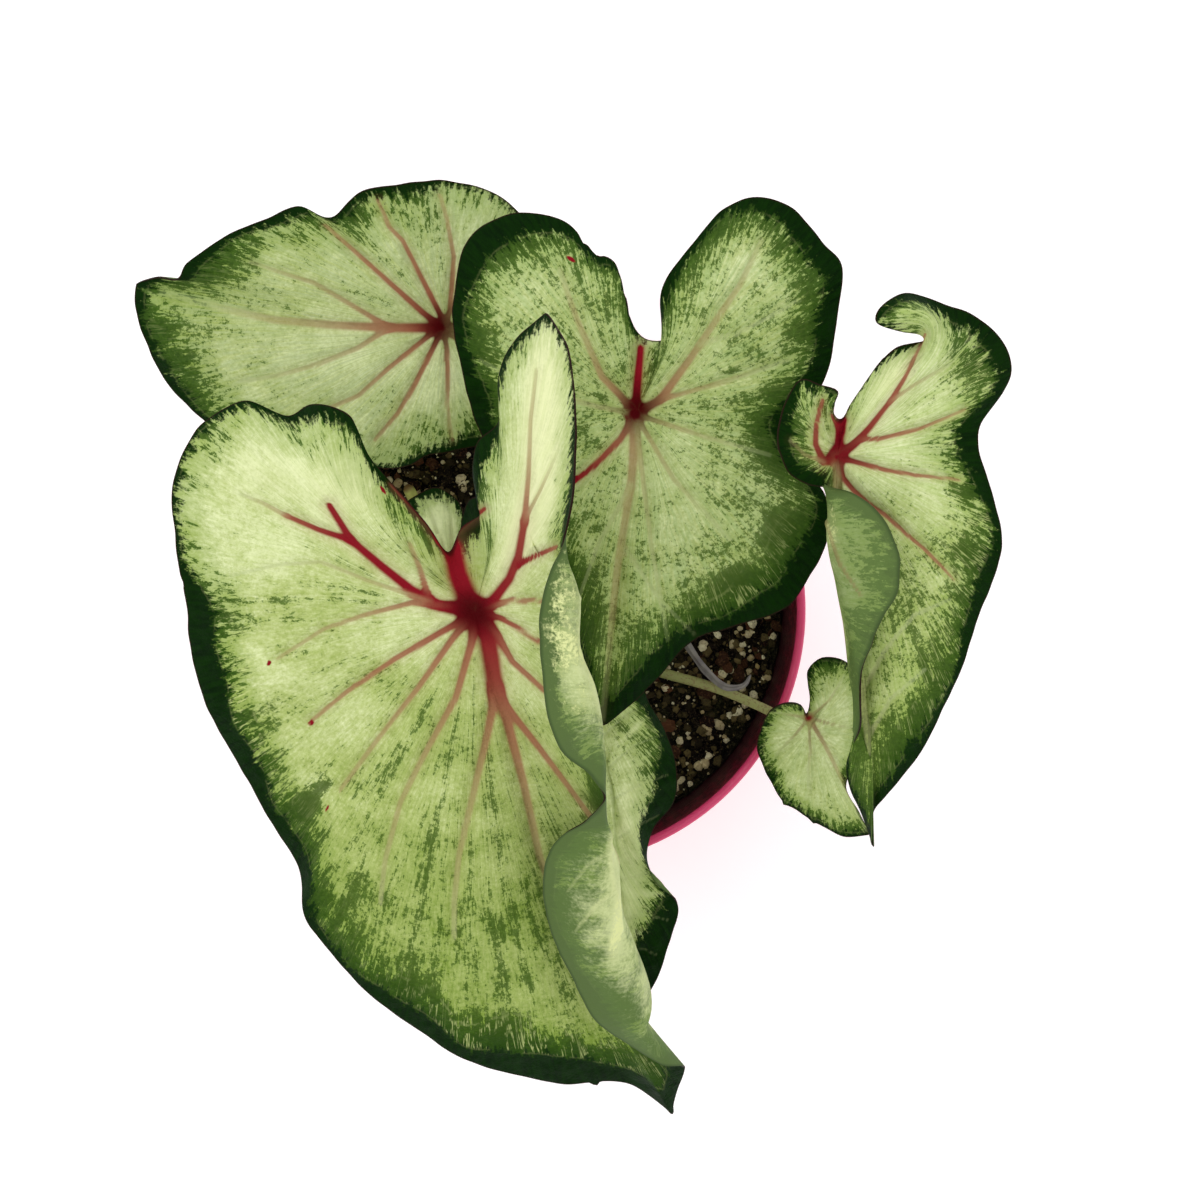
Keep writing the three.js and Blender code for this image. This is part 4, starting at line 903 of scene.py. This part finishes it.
# The finish of the blades. Every tone is a colour, widths are in millimetres.
leafLook = {
    "pale": paint(230, 238, 186),
    "middle": paint(174, 188, 114),
    "deep": paint(110, 136, 44),
    "rim": paint(10, 41, 0),
    "rimDeep": paint(2, 24, 0),
    "fleck": paint(68, 104, 24),
    "fleckDeep": paint(28, 60, 4),
    "edge": paint(40, 20, 18),
    "veinRed": paint(132, 16, 30),
    "veinDeep": paint(70, 0, 4),
    "veinRim": paint(58, 10, 8),
    "veinPink": paint(154, 100, 74),
    "veinTan": paint(160, 142, 98),
    "veinPale": paint(178, 190, 136),
    "haze": paint(122, 150, 56),
    "paleLine": paint(206, 216, 140),
    "under": paint(202, 210, 156),
    "underDark": paint(102, 124, 70),
    "underEdge": paint(80, 100, 58),
    "underPale": paint(216, 222, 156),
    "cream": paint(232, 236, 184),
}
# Each leaf: tone at the middle of the pot and its change per mm along x and y (0 pale, 1 deep; the change is
# partly painted light and shade), width of the solid band, of the flecked zone, share of flecks further in,
# wash and its share, depth of the underside, pale rungs, how far the flecks gather along the rays, darkness
# of the heart
leafTones = {
    "front": (0.35, 0.0, -0.006, 4.0, 15, 0.24, paint(172, 192, 100), 0.25, 0.3, 0.05, 1.0, 1.0),
    "back": (0.09, -0.005, 0.0, 2.7, 16, 0.24, paint(172, 188, 142), 0.5, 0.2, 0.1, 0.5, 1.0),
    "middle": (0.48, -0.0006, -0.0012, 4.8, 13, 0.43, paint(158, 184, 122), 0.5, 0.2, 0.06, 0.45, 1.0),
    "right": (0.46, 0.0, -0.007, 3.8, 14, 0.42, paint(166, 192, 100), 0.5, 1.1, 0.4, 0.6, 0.4),
    "under": (0.22, 0.0, 0.0, 7.0, 13, 0.4, paint(166, 190, 100), 0.3, 0.2, 0.35, 0.6, 1.0),
    "small": (0.4, 0.0, 0.0, 1.0, 6, 0.2, paint(160, 180, 120), 0.4, 0.2, 0.0, 0.5, 0.4),
    "young": (-0.05, 0.0, 0.0, 2.4, 6, 0.14, paint(172, 190, 120), 0.2, 0.2, 0.0, 0.5, 1.0),
}


def colourParts(wire, name):  # red, green, blue and alpha of a colour attribute
    whole = wire.add("ShaderNodeAttribute", attribute_name=name)
    return [*whole.parts("Color"), Wire(wire.tree, whole.socket.node.outputs["Alpha"])]


def leafPattern(wire, place, tones):
    (toneHere, toneAndShadeAcross, toneAndShadeUp, solidWidth, fleckZone, atCentre, wash, washShare, underDepth, rungs,
     cluster, heart) = tones
    marginMap = wire.add("ShaderNodeUVMap", uv_map="margin")
    inward = marginMap.parts()[1]
    vein, band, redness, hubShare = colourParts(wire, "veins")
    fromHub = hubShare * hubReach
    redSpot, greenAndShadePatch, paleAndLitPatch, thinBand = colourParts(wire, "spots")
    x, y = place.parts()[:2]

    cloud = spread(noise(wire, place, 0.05, 2))
    patch = spread(noise(wire, place, 0.17, 3))
    speck = noise(wire, place, 1.1, 4, 0.7)
    streak = noise(wire, marginMap, (0.7, 0.14, 1), 4, 0.65)
    widthField = spread(noise(wire, marginMap, (0.03, 0.012, 1), 1))
    width = (0.5 + widthField) * solidWidth * (1 - thinBand * 0.85)
    beyond = inward - width

    # how green: 1 at the inner side of the solid band, less towards the middle of the blade
    solid = 1 - (beyond + (streak - 0.5) * 12 + (speck - 0.5) * 7).rise(-0.8, 1.4)
    zone = (1 - beyond.rise(0, fleckZone)) * (1 - thinBand * 0.3)
    # a slope of tone over each blade, partly its own colour and partly painted light and shade: the front
    # leaf is paler at its top and deeper towards its lower tip
    gradient = x * toneAndShadeAcross + y * toneAndShadeUp + toneHere
    level = zone * 0.33 + (cloud - 0.5) * 0.2 + (patch - 0.5) * 0.16 + atCentre * 0.6 + gradient * 0.4
    gather = spread(noise(wire, marginMap, (0.15, 0.04, 1), 3, 0.6))
    level = level + (gather - 0.5) * cluster * 0.4
    # green patches raise the level; the front leaf's third one is partly painted shade
    level = level - band * 0.24 + greenAndShadePatch * 0.9 - paleAndLitPatch * 0.3

    # green flecks run together in clusters, drawn out across the edge where they are near to it
    rounded = noise(wire, place, 0.8, 5, 0.8)
    drawn = noise(wire, marginMap, (0.9, 0.3, 1), 5, 0.75, 0.4)
    mixed = rounded + (drawn - rounded) * (zone.rise(0.1, 0.7) * 0.35 + cluster * 0.3 + 0.15)
    amount = mixed + (level - 0.5) * 0.42
    flecks = amount.rise(0.495, 0.54)
    haze = (amount * 0.5 + zone * 0.22).rise(0.16, 0.42)

    tone = gradient + (cloud - 0.5) * 0.3 + (patch - 0.5) * 0.16
    tone = tone + (speck - 0.5) * 0.9 + (drawn - 0.5) * 0.9 + zone * 0.2 - band * redness * 0.1
    colour = tone.rise(-0.15, 0.65).blend(leafLook["pale"], leafLook["middle"])
    colour = tone.rise(0.4, 1.2).blend(colour, leafLook["deep"])
    # cream where the pale patches lie; on the front leaf this is partly painted light
    colour = paleAndLitPatch.rise(0.1, 1).blend(colour, leafLook["cream"])
    colour = (streak.rise(0.36, 0.64) * washShare).blend(colour, wash)
    colour = (haze * 0.5).blend(colour, leafLook["haze"])
    fleckTone = (speck + level * 0.5).rise(0.4, 1.05).blend(leafLook["fleck"], leafLook["fleckDeep"])
    colour = (flecks * (0.76 + zone * 0.16)).blend(colour, fleckTone)
    rimTone = spread(streak).blend(leafLook["rim"], leafLook["rimDeep"])
    colour = solid.blend(colour, rimTone)

    # pale lines: ticks across the edge, and two lines along it, one at the solid band
    tickField = noise(wire, marginMap, (0.6, 0.06, 1), 3, 0.6, 0.5)
    ticks = 1 - (tickField - 0.5).unsigned().rise(0.004, 0.03)
    firstLine = (beyond - (speck - 0.5) * 1.4).unsigned()
    secondLine = (inward - width * 2.2 - 1.5 - (speck - 0.5) * 2).unsigned()
    widened = (thinBand * -1).most(0)
    lines = ((1 - firstLine.rise(0.08, 0.4)) * 0.06).most((1 - secondLine.rise(0.2, 0.7)) * widened * 0.28)
    broken = spread(noise(wire, place, 0.22, 3)).rise(0.3, 0.6)
    tickZone = beyond.rise(-0.5, 0.8) * (1 - beyond.rise(fleckZone * 0.5, fleckZone * 1.1))
    tickShare = (rungs - thinBand * 0.7).most(0)
    pale = (ticks * tickZone * tickShare * broken).most(lines * broken)
    colour = pale.blend(colour, leafLook["paleLine"])

    core = vein.rise(0.12, 0.72) * (1 - zone * 0.8 * (1 - redness))
    veinTone = redness.rise(0.05, 0.3).blend(leafLook["veinPale"], leafLook["veinTan"])
    veinTone = redness.rise(0.3, 0.62).blend(veinTone, leafLook["veinPink"])
    veinTone = redness.rise(0.62, 0.95).blend(veinTone, leafLook["veinRed"])
    veinTone = ((1 - fromHub.rise(1, 9)) * heart).blend(veinTone, leafLook["veinDeep"])
    veinTone = ((1 - inward.rise(0.5, 1.7)) * 0.85).blend(veinTone, leafLook["veinRim"])
    colour = (band * redness * 0.34).blend(colour, leafLook["veinPink"])
    colour = (core * (0.5 + redness.rise(0.1, 0.8) * 0.5)).blend(colour, veinTone)
    colour = redSpot.rise(0.3, 0.6).blend(colour, leafLook["veinRed"])
    edgeLine = 1 - inward.rise(0.1, 0.42)
    colour = (edgeLine * 0.85).blend(colour, leafLook["edge"])
    return {"inward": inward, "colour": colour, "core": core, "solid": solid, "speck": speck,
            "streak": streak, "zone": zone, "paleAndLitPatch": paleAndLitPatch, "patch": patch,
            "underDepth": underDepth, "redness": redness, "band": band}


def leafTop(name):
    material, wire, place = startMaterial("blade_" + name)
    leaf = leafPattern(wire, place, leafTones[name])
    cells = wire.add("ShaderNodeTexVoronoi", {"Vector": place, "Scale": 0.3}, feature="SMOOTH_F1")
    quilt = 1 - cells
    roughness = 0.5 + leaf["speck"] * 0.16 - leaf["solid"] * 0.06
    bumps = [(quilt, 0.0006), (leaf["speck"], 0.0003), (leaf["band"], -0.0012)]
    endMaterial(wire, leaf["colour"], roughness, bumps, Specular_IOR_Level=0.04)
    return material


def leafUnder(name):
    material, wire, place = startMaterial("blade_" + name + "_under")
    leaf = leafPattern(wire, place, leafTones[name])
    deep = leaf["solid"] * 0.5 + leaf["zone"] * 0.8 + (leaf["streak"] - 0.5) * 1.2 - leaf["paleAndLitPatch"] * 0.9
    deep = deep + (leaf["speck"] - 0.5) * 1.4 + (leaf["patch"] - 0.5) * 0.4 + leaf["underDepth"]
    bloom = deep.rise(0.0, 1.0).blend(leafLook["under"], leafLook["underDark"])
    bloom = (1 - leaf["inward"].rise(0.2, 1.2)).blend(bloom, leafLook["underEdge"])
    colour = wire.add("ShaderNodeMix", {0: 0.66, 6: leaf["colour"], 7: bloom}, output=2, data_type="RGBA")
    mottle = 0.4 + (leaf["speck"] - 0.5) * 3.5 + leaf["patch"] * 0.9
    colour = (leaf["paleAndLitPatch"] * mottle).rise(0.25, 0.75).blend(colour, leafLook["underPale"])
    veinTone = leaf["redness"].rise(0.1, 0.4).blend(leafLook["underPale"], leafLook["veinTan"])
    colour = (leaf["core"] * 0.3).blend(colour, veinTone)
    bumps = [(leaf["speck"], 0.0001), (leaf["streak"], 0.0001)]
    endMaterial(wire, colour, 0.56 + leaf["speck"] * 0.15, bumps, Specular_IOR_Level=0.05)
    return material


leafTops = {name: leafTop(name) for name in leaves}
leafUnders = {name: leafUnder(name) for name in leaves}
print("Leaf finishes are made")

for name in leaves:
    makeBlade(name)
print("Blades are made")


# Petioles and other stalks, along smooth curves through the points (mm)

stalkBuild = {"sides": 20, "steps": 70, "sink": 0.9, "depth": 15, "upright": 4, "domeSteps": 4,
              "dome": 4.2}
soilLevel = 88

petioles = {  # foot, points passed, radii at the foot and the top
    "front": ((1, 4), [(3, 4, 120), (3.5, 3, 152), (-4, 1, 178)], (2.6, 1.6)),
    "back": ((-3, 12), [(-6, 22, 118), (-16, 48, 142)], (2.1, 1.3)),
    "middle": ((12, 8), [(15, 16, 120), (20, 36, 155)], (2.5, 1.5)),
    "right": ((20, 2), [(36, 12, 122), (57, 28, 158), (62.8, 35, 176)], (2.5, 1.4)),
    "under": ((6, -12), [(6.5, -15, 112), (6, -13, 134)], (2.2, 1.4)),
    "small": ((17, -12), [(27, -15.5, 97), (43, -20, 108), (58, -26.5, 117)], (1.6, 1.1)),
    "young": ((-8, 2), [(-12, 3, 106), (-19, 5, 123)], (1.7, 1.1)),
}


def smoothWay(points, steps):
    # a centripetal curve through the points, cut into even steps
    points = np.array(points, float)
    points = np.vstack([2 * points[0] - points[1], points, 2 * points[-1] - points[-2]])
    way = []
    for i in range(1, len(points) - 2):
        p0, p1, p2, p3 = points[i - 1:i + 3]
        s0, s1, s2 = (max(math.sqrt(np.linalg.norm(b - a)), 1e-6)
                      for a, b in ((p0, p1), (p1, p2), (p2, p3)))
        t1 = ((p1 - p0) / s0 - (p2 - p0) / (s0 + s1) + (p2 - p1) / s1) * s1
        t2 = ((p2 - p1) / s1 - (p3 - p1) / (s1 + s2) + (p3 - p2) / s2) * s1
        share = np.linspace(0, 1, 60, endpoint=False)[:, None]
        way.append(cubic(p1, p2, t1, t2, 1, share))
    way = np.vstack(way + [points[-2][None]])
    gone = np.concatenate([[0], np.cumsum(np.linalg.norm(way[1:] - way[:-1], axis=1))])
    even = np.linspace(0, gone[-1], steps + 1)
    return np.stack([np.interp(even, gone, way[:, axis]) for axis in range(3)], 1)


def makeStalk(name, route, radii, material, slotName, node, shape):
    # `shape` gives the radius at a share of the way and an angle, as a factor
    sides, steps = stalkBuild["sides"], stalkBuild["steps"]
    way = smoothWay(route, steps)
    forward = unit(np.gradient(way, axis=0))
    side = unit(np.cross(forward[0], (0.3, 1, 0.1)))
    angles = circle(sides)
    points = []
    for k in range(steps + 1):
        side = unit(side - forward[k] * side.dot(forward[k]))
        up = np.cross(forward[k], side)
        share = k / steps
        radius = radii[0] + (radii[1] - radii[0]) * math.sqrt(share)
        past = k - steps + stalkBuild["domeSteps"]
        if past > 0:
            radius *= math.sqrt(max(1 - (past / stalkBuild["dome"]) ** 2, 0.02))
        ring = np.outer(np.cos(angles), side) + np.outer(np.sin(angles), up)
        points.append(way[k] + radius * ring * shape(share, angles)[:, None])
    points = np.vstack([way[:1]] + points + [way[-1:]])
    piece = newPiece(name, points, stackFaces(sides, steps + 1), [material])
    corners = cornerPoints(piece.data) - 1
    mapPlaces(piece.data, "length", (corners % sides) / sides, np.clip(corners // sides, 0, steps) / steps)
    settle(piece, slotName, node)


petioleLook = {"foot": paint(120, 134, 70), "middle": paint(150, 151, 94), "top": paint(150, 90, 70),
               "fleck": paint(110, 60, 52)}


def petioleFinish():
    material, wire, place = startMaterial("petioleSkin")
    along = wire.add("ShaderNodeUVMap", uv_map="length").parts()[1]
    grainy = noise(wire, place, (1.6, 1.6, 0.25), 3, 0.6)
    colour = along.rise(0.1, 0.6).blend(petioleLook["foot"], petioleLook["middle"])
    colour = (along.rise(0.86, 1.0) * 0.7).blend(colour, petioleLook["top"])
    colour = (spread(grainy).rise(0.62, 0.8) * 0.45).blend(colour, petioleLook["fleck"])
    endMaterial(wire, colour, 0.42 + grainy * 0.2, [(grainy, 0.00018)], Specular_IOR_Level=0.4)
    return material


def sheath(share, angles):  # a wide, grooved foot that narrows to a round stalk
    width = 1 + 0.35 * max(0, 1 - share / 0.35)
    groove = 1 - 0.22 * max(0, 1 - share / 0.5) * np.exp(-((np.cos(angles) - 1) / 0.18) ** 2)
    return width * groove


def makePetioles():
    skin = petioleFinish()
    for name, (foot, passed, radii) in petioles.items():
        hub = placed(leaves[name]["hub"])[0]
        top = hub - unit(hub - np.array(passed[-1], float)) * stalkBuild["sink"]
        rooted = [(*foot, soilLevel - stalkBuild[part]) for part in ("depth", "upright")]
        route = [*rooted, *passed, tuple(top)]
        makeStalk("stem_" + name, route, radii, skin, "petiole", "petiole_" + name, sheath)


def witheredFinish():
    material, wire, place = startMaterial("witheredSkin")
    folds = noise(wire, wire.add("ShaderNodeUVMap", uv_map="length"), (9, 2.5, 1), 3, 0.6)
    stain = spread(noise(wire, place, 0.25, 3))
    colour = stain.blend(paint(118, 112, 114), paint(146, 140, 134))
    colour = (spread(folds).rise(0.5, 0.9) * 0.6).blend(colour, paint(78, 68, 70))
    endMaterial(wire, colour, 0.72, [(folds, 0.0005)])
    return material


def shrivelled(share, angles):
    flat = 1 - 0.35 * np.abs(np.sin(angles + 2.5 * share))
    wrinkles = 1 + 0.09 * np.sin(5 * angles + 9 * share) + 0.06 * math.sin(31 * share)
    return flat * wrinkles * (1.15 - 0.3 * share)


def stubFinish():
    material, wire, place = startMaterial("stubSkin")
    mottle = spread(noise(wire, place, 0.4, 3))
    along = wire.add("ShaderNodeUVMap", uv_map="length").parts()[1]
    colour = mottle.blend(paint(204, 206, 116), paint(168, 172, 88))
    colour = along.rise(0.9, 1).blend(colour, paint(120, 96, 52))
    endMaterial(wire, colour, 0.6, [(mottle, 0.0003)])
    return material


def torn(share, angles):
    return 1 + 0.14 * np.sin(3 * angles + 4 * share) + 0.18 * max(0, share - 0.7) * np.sin(7 * angles)


witheredWay = [(29.5, 0, 79), (32, -3, 89), (35, -9, 98), (39.5, -15.5, 107), (44.5, -19.2, 113),
               (48.5, -18.5, 115), (50, -16, 116)]
stubWay = [(-34, 25, 80), (-35, 28, 89), (-36.5, 31.5, 93)]

makePetioles()
makeStalk("driedStalk", witheredWay, (2.1, 0.9), witheredFinish(), "withered", "withered_stalk", shrivelled)
makeStalk("oldStub", stubWay, (2.6, 1.3), stubFinish(), "stub", "stalk_stub", torn)
print("Stalks are made")


# Pot: a lathed shell (radius, height in mm) with drain holes

potBuild = {"height": 108, "rimRadius": 64.25, "rimWidth": 2.2, "rimBand": 10, "shoulder": 62.3, "base": 50,
            "wall": 1.5, "floor": 2.4, "round": 1.5, "sectors": 144}
drains = {"holes": 8, "radius": 2.6, "circle": 34, "sides": 24, "reach": 5}


def arc(centre, radius, fromAngle, toAngle, steps=5):
    return [(centre[0] + radius * math.cos(math.radians(a)), centre[1] + radius * math.sin(math.radians(a)))
            for a in np.linspace(fromAngle, toAngle, steps)]


def potProfile():  # radius and height of each point, and the step at which the inside begins
    build = potBuild
    top, rim, base = build["height"], build["rimRadius"], build["base"]
    shoulder, floor = build["shoulder"], build["floor"]
    wall, curve, lip = build["wall"], build["round"], build["rimWidth"] / 2
    inner = rim - build["rimWidth"]
    bandFoot = top - build["rimBand"]
    outside = [(0, 0), (base - 2 * curve, 0), *arc((base - curve, curve), curve, -90, -8),
               (shoulder, bandFoot - 0.9), (rim - 0.9, bandFoot - 0.3),
               *arc((rim - 0.6, bandFoot + 0.4), 0.5, -70, 0), *arc((rim - lip, top - lip), lip, 0, 180, 9)]
    inside = [(inner, top - 3), (inner - 0.2, bandFoot + 1), (shoulder - wall, bandFoot - 1.5),
              (base - wall + 0.1, floor + 1.6),
              *arc((base - wall - curve, floor + curve), curve, 0, -90, 4), (0, floor)]
    return outside + inside, len(outside) - 1


def lathe(profile, sectors, centre=(0, 0)):  # the profile's first and last points lie on the axis
    points = [(*centre, profile[0][1])]
    for radius, height in profile[1:-1]:
        points += [(centre[0] + radius * math.cos(a), centre[1] + radius * math.sin(a), height)
                   for a in circle(sectors)]
    return points + [(*centre, profile[-1][1])], stackFaces(sectors, len(profile) - 2)


def potFinish(inside):
    material, wire, place = startMaterial("pinkPlasticInside" if inside else "pinkPlastic")
    height = place.parts()[2]
    cloud = spread(noise(wire, place, 0.05, 3))
    dust = spread(noise(wire, place, 0.8, 4, 0.6))
    scuffs = spread(noise(wire, place, (0.3, 0.3, 2.2), 3, 0.7))
    colour = cloud.blend(paint(206, 48, 100), paint(216, 62, 112))
    if inside:  # painted shade with soil stain: darker than the outside, darkest low down by the soil
        stainAndShade = (1 - height.rise(84, 108)) * 0.5 + dust * 0.3
        # both inside tones are painted shade of the pink wall; the darker one also holds soil stain
        colour = stainAndShade.rise(0, 0.5).blend(paint(128, 22, 50), paint(44, 12, 18))
    roughness = 0.32 + scuffs * 0.14 + dust * 0.06
    endMaterial(wire, colour, roughness, [(scuffs, 0.00004)], Specular_IOR_Level=0.5)
    return material


def applied(piece):  # leaves the piece a plain mesh, with what its modifiers made
    bpy.context.view_layer.update()
    graph = bpy.context.evaluated_depsgraph_get()
    mesh = bpy.data.meshes.new_from_object(piece.evaluated_get(graph), depsgraph=graph)
    piece.modifiers.clear()
    piece.data = mesh


def makePot():
    profile, innerStep = potProfile()
    points, faces = lathe(profile, potBuild["sectors"])
    slots = [int(step >= innerStep) for step in range(len(profile) - 1)] * potBuild["sectors"]
    pot = newPiece("nurseryPot", points, faces, [potFinish(False), potFinish(True)], slots)
    reach, radius, circleRadius = drains["reach"], drains["radius"], drains["circle"]
    ends = (-reach, potBuild["floor"] + reach)
    profile = [(0, ends[0]), (radius, ends[0]), (radius, ends[1]), (0, ends[1])]
    drillPoints, drillFaces = [], []
    for hole in range(drains["holes"]):
        angle = 2 * math.pi * (hole + 0.5) / drains["holes"]
        centre = (circleRadius * math.cos(angle), circleRadius * math.sin(angle))
        points, faces = lathe(profile, drains["sides"], centre)
        drillFaces += [tuple(len(drillPoints) + corner for corner in face) for face in faces]
        drillPoints += points
    drills = newPiece("drills", drillPoints, drillFaces, [])
    cut = pot.modifiers.new("drains", "BOOLEAN")
    cut.operation = "DIFFERENCE"
    cut.solver = "EXACT"
    cut.object = drills
    applied(pot)
    bpy.data.objects.remove(drills)
    pot.data.set_sharp_from_angle(angle=math.radians(45))
    settle(pot, "pot", "pot")


makePot()
print("Pot is made")


# Soil: a lumpy bed, with perlite, bark and crumbs scattered over it

soilBuild = {"rings": 90, "sectors": 260, "gap": 0.4, "crust": 8, "clear": 1.6}
# name: the finish, how many, smallest and largest (mm), flatness, seed, sides of a grain, and three tones:
# light, dark and in the pores
scatter = {
    "perlite": ("perlite", 1450, 0.6, 2.9, 0.8, 3, 8,
                paint(255, 246, 208), paint(176, 154, 108), paint(110, 92, 66)),
    "bark": ("barkChips", 320, 2.0, 5.5, 0.45, 5, 8,
             paint(92, 58, 38), paint(24, 14, 11), paint(120, 88, 60)),
    "crumb": ("soilCrumbs", 4200, 0.6, 3.0, 0.8, 9, 5,
              paint(10, 6, 5), paint(112, 98, 62), paint(12, 8, 7)),
}


def soilHeight(x, y):
    broad = 1.6 * np.sin(x * 0.13 + 0.6) * np.cos(y * 0.11 - 0.4)
    lumps = 0.9 * np.sin(x * 0.43 + y * 0.21) * np.sin(y * 0.47 - x * 0.16)
    crumbs = 0.5 * np.sin(x * 1.13 - y * 0.7) * np.cos(y * 1.21 + x * 0.5)
    fine = 0.35 * np.sin(x * 2.7 + 1.3 * np.sin(y * 1.9)) * np.sin(y * 2.9 + 1.1 * np.sin(x * 2.3))
    return soilLevel + broad + lumps + crumbs + fine


def innerRadius(height):
    build = potBuild
    foot = build["base"] - build["wall"]
    top = build["shoulder"] - build["wall"]
    bandFoot = build["height"] - build["rimBand"]
    share = (height - build["floor"] - 1.5) / (bandFoot - 1.5 - build["floor"] - 1.5)
    return foot + (top - foot) * share


def makeSoil():
    rings, gap = soilBuild["rings"], soilBuild["gap"]
    outer = innerRadius(soilLevel) - gap
    bottom = potBuild["floor"] + 0.5
    profile = [(0, bottom), (innerRadius(bottom + 2) - 1.5, bottom),
               (innerRadius(bottom + 4) - gap, bottom + 4)]
    profile += [(outer * ring / rings, soilLevel) for ring in range(rings, -1, -1)]
    points, faces = lathe(profile, soilBuild["sectors"])
    points = np.array(points, float)
    x, y, z = points.T
    points[:, 2] = np.where(z == soilLevel, soilHeight(x, y), z)
    return newPiece("pottingSoil", points, faces, [soilFinish()])


def soilFinish():
    material, wire, place = startMaterial("pottingSoil")
    moss = spread(noise(wire, place, 0.12, 3))
    clods = spread(noise(wire, place, 0.7, 4, 0.65))
    dust = spread(noise(wire, place, 2.4, 3, 0.7))
    colour = clods.rise(0.35, 0.9).blend(paint(4, 2, 2), paint(44, 35, 26))
    colour = (moss.rise(0.5, 0.9) * 0.5 * clods).blend(colour, paint(60, 64, 32))
    colour = (dust.rise(0.7, 0.95) * 0.4).blend(colour, paint(126, 110, 88))
    endMaterial(wire, colour, 0.92, [(clods, 0.0009), (dust, 0.0003)], Specular_IOR_Level=0.08)
    return material


def grainFinish(name, light, dark, speck):
    material, wire, place = startMaterial(name)
    own = wire.add("ShaderNodeAttribute", attribute_name="shade", output=2)
    pores = spread(noise(wire, place, 1.8, 3, 0.65))
    colour = own.blend(light, dark)
    colour = (pores.rise(0.62, 0.9) * 0.5).blend(colour, speck)
    endMaterial(wire, colour, 0.85, [(pores, 0.0003)], Specular_IOR_Level=0.1)
    return material


def scatterTree(material):
    # grains over a surface: how many, their sizes, how flat and a seed are inputs
    tree = bpy.data.node_groups.new("grainsOver", "GeometryNodeTree")
    kinds = {"Geometry": "Geometry", "Density": "Float", "Smallest": "Float", "Largest": "Float",
             "Flatness": "Float", "Seed": "Int", "Sides": "Int"}
    for name, kind in kinds.items():
        tree.interface.new_socket(name, in_out="INPUT", socket_type="NodeSocket" + kind)
    tree.interface.new_socket("Geometry", in_out="OUTPUT", socket_type="NodeSocketGeometry")
    start = Wire(tree)
    given = tree.nodes.new("NodeGroupInput")
    inputs = {socket.name: Wire(tree, socket) for socket in given.outputs if socket.name}

    def chance(low, high, shift):  # a value for each grain
        sockets = {2: low, 3: high, "Seed": inputs["Seed"] + shift}
        return start.add("FunctionNodeRandomValue", sockets, output=1, data_type="FLOAT")

    x, y, z = start.add("GeometryNodeInputPosition").parts()
    lowest = (soilLevel - soilBuild["crust"]) * mm
    furthest = (innerRadius(soilLevel) - soilBuild["clear"]) * mm
    onTop = start.add("FunctionNodeCompare", {0: z, 1: lowest}, operation="GREATER_THAN")
    offWall = start.add("FunctionNodeCompare", {0: x * x + y * y, 1: furthest ** 2}, operation="LESS_THAN")
    spots = start.add("GeometryNodeDistributePointsOnFaces",
                      {"Mesh": inputs["Geometry"], "Selection": onTop,
                       "Density": inputs["Density"] * offWall, "Seed": inputs["Seed"]})
    ball = start.add("GeometryNodeMeshUVSphere", {"Radius": 1.0, "Segments": inputs["Sides"],
                                                 "Rings": inputs["Sides"] - 2})
    sockets = {0: (0, 0, 0), 1: (0.6, 0.6, 6.283), "Seed": inputs["Seed"]}
    turn = start.add("FunctionNodeRandomValue", sockets, data_type="FLOAT_VECTOR")
    pick = chance(0.0, 1.0, 1)
    size = inputs["Smallest"] + (inputs["Largest"] - inputs["Smallest"]) * pick * pick * pick
    length = chance(0.75, 1.35, 2)
    scale = start.add("ShaderNodeCombineXYZ", {0: size * length, 1: size, 2: size * inputs["Flatness"]})
    grains = start.add("GeometryNodeInstanceOnPoints",
                       {"Points": spots, "Instance": ball, "Rotation": turn, "Scale": scale})
    grains = start.add("GeometryNodeStoreNamedAttribute",
                       {"Geometry": grains, "Name": "shade", "Value": chance(0.0, 1.0, 4)},
                       data_type="FLOAT", domain="INSTANCE")
    loose = start.add("GeometryNodeRealizeInstances", {0: grains})
    sockets = {"Vector": start.add("GeometryNodeInputPosition"), "Scale": 900.0, "Detail": 2.0}
    rough = start.add("ShaderNodeTexNoise", sockets, output=1)
    dent = start.add("ShaderNodeVectorMath", {0: rough, 1: (0.5, 0.5, 0.5)}, operation="SUBTRACT")
    dent = start.add("ShaderNodeVectorMath", {0: dent, "Scale": inputs["Largest"] * 0.7}, operation="SCALE")
    shaped = start.add("GeometryNodeSetPosition", {"Geometry": loose, "Offset": dent})
    smooth = start.add("GeometryNodeSetShadeSmooth", {0: shaped, 2: False})
    dressed = start.add("GeometryNodeSetMaterial", {"Geometry": smooth, "Material": material})
    result = tree.nodes.new("NodeGroupOutput")
    tree.links.new(dressed.socket, result.inputs[0])
    return tree


def scatterGrains(soil, name):
    finishName, count, smallest, largest, flatness, seed, sides, *tones = scatter[name]
    area = math.pi * (innerRadius(soilLevel) * mm) ** 2
    piece = linked(bpy.data.objects.new(name + "Grains", soil.data.copy()))
    values = {"Density": count / area, "Smallest": smallest / 2 * mm, "Largest": largest / 2 * mm,
              "Flatness": flatness, "Seed": seed, "Sides": sides}
    modifier = piece.modifiers.new("grains", "NODES")
    modifier.node_group = scatterTree(grainFinish(finishName, *tones))
    for socket in modifier.node_group.interface.items_tree:
        if socket.name in values:
            modifier[socket.identifier] = values[socket.name]
    applied(piece)
    settle(piece, "soil")


soil = makeSoil()
for name in scatter:
    scatterGrains(soil, name)
settle(soil, "soil", "soil")
print("Soil is made")
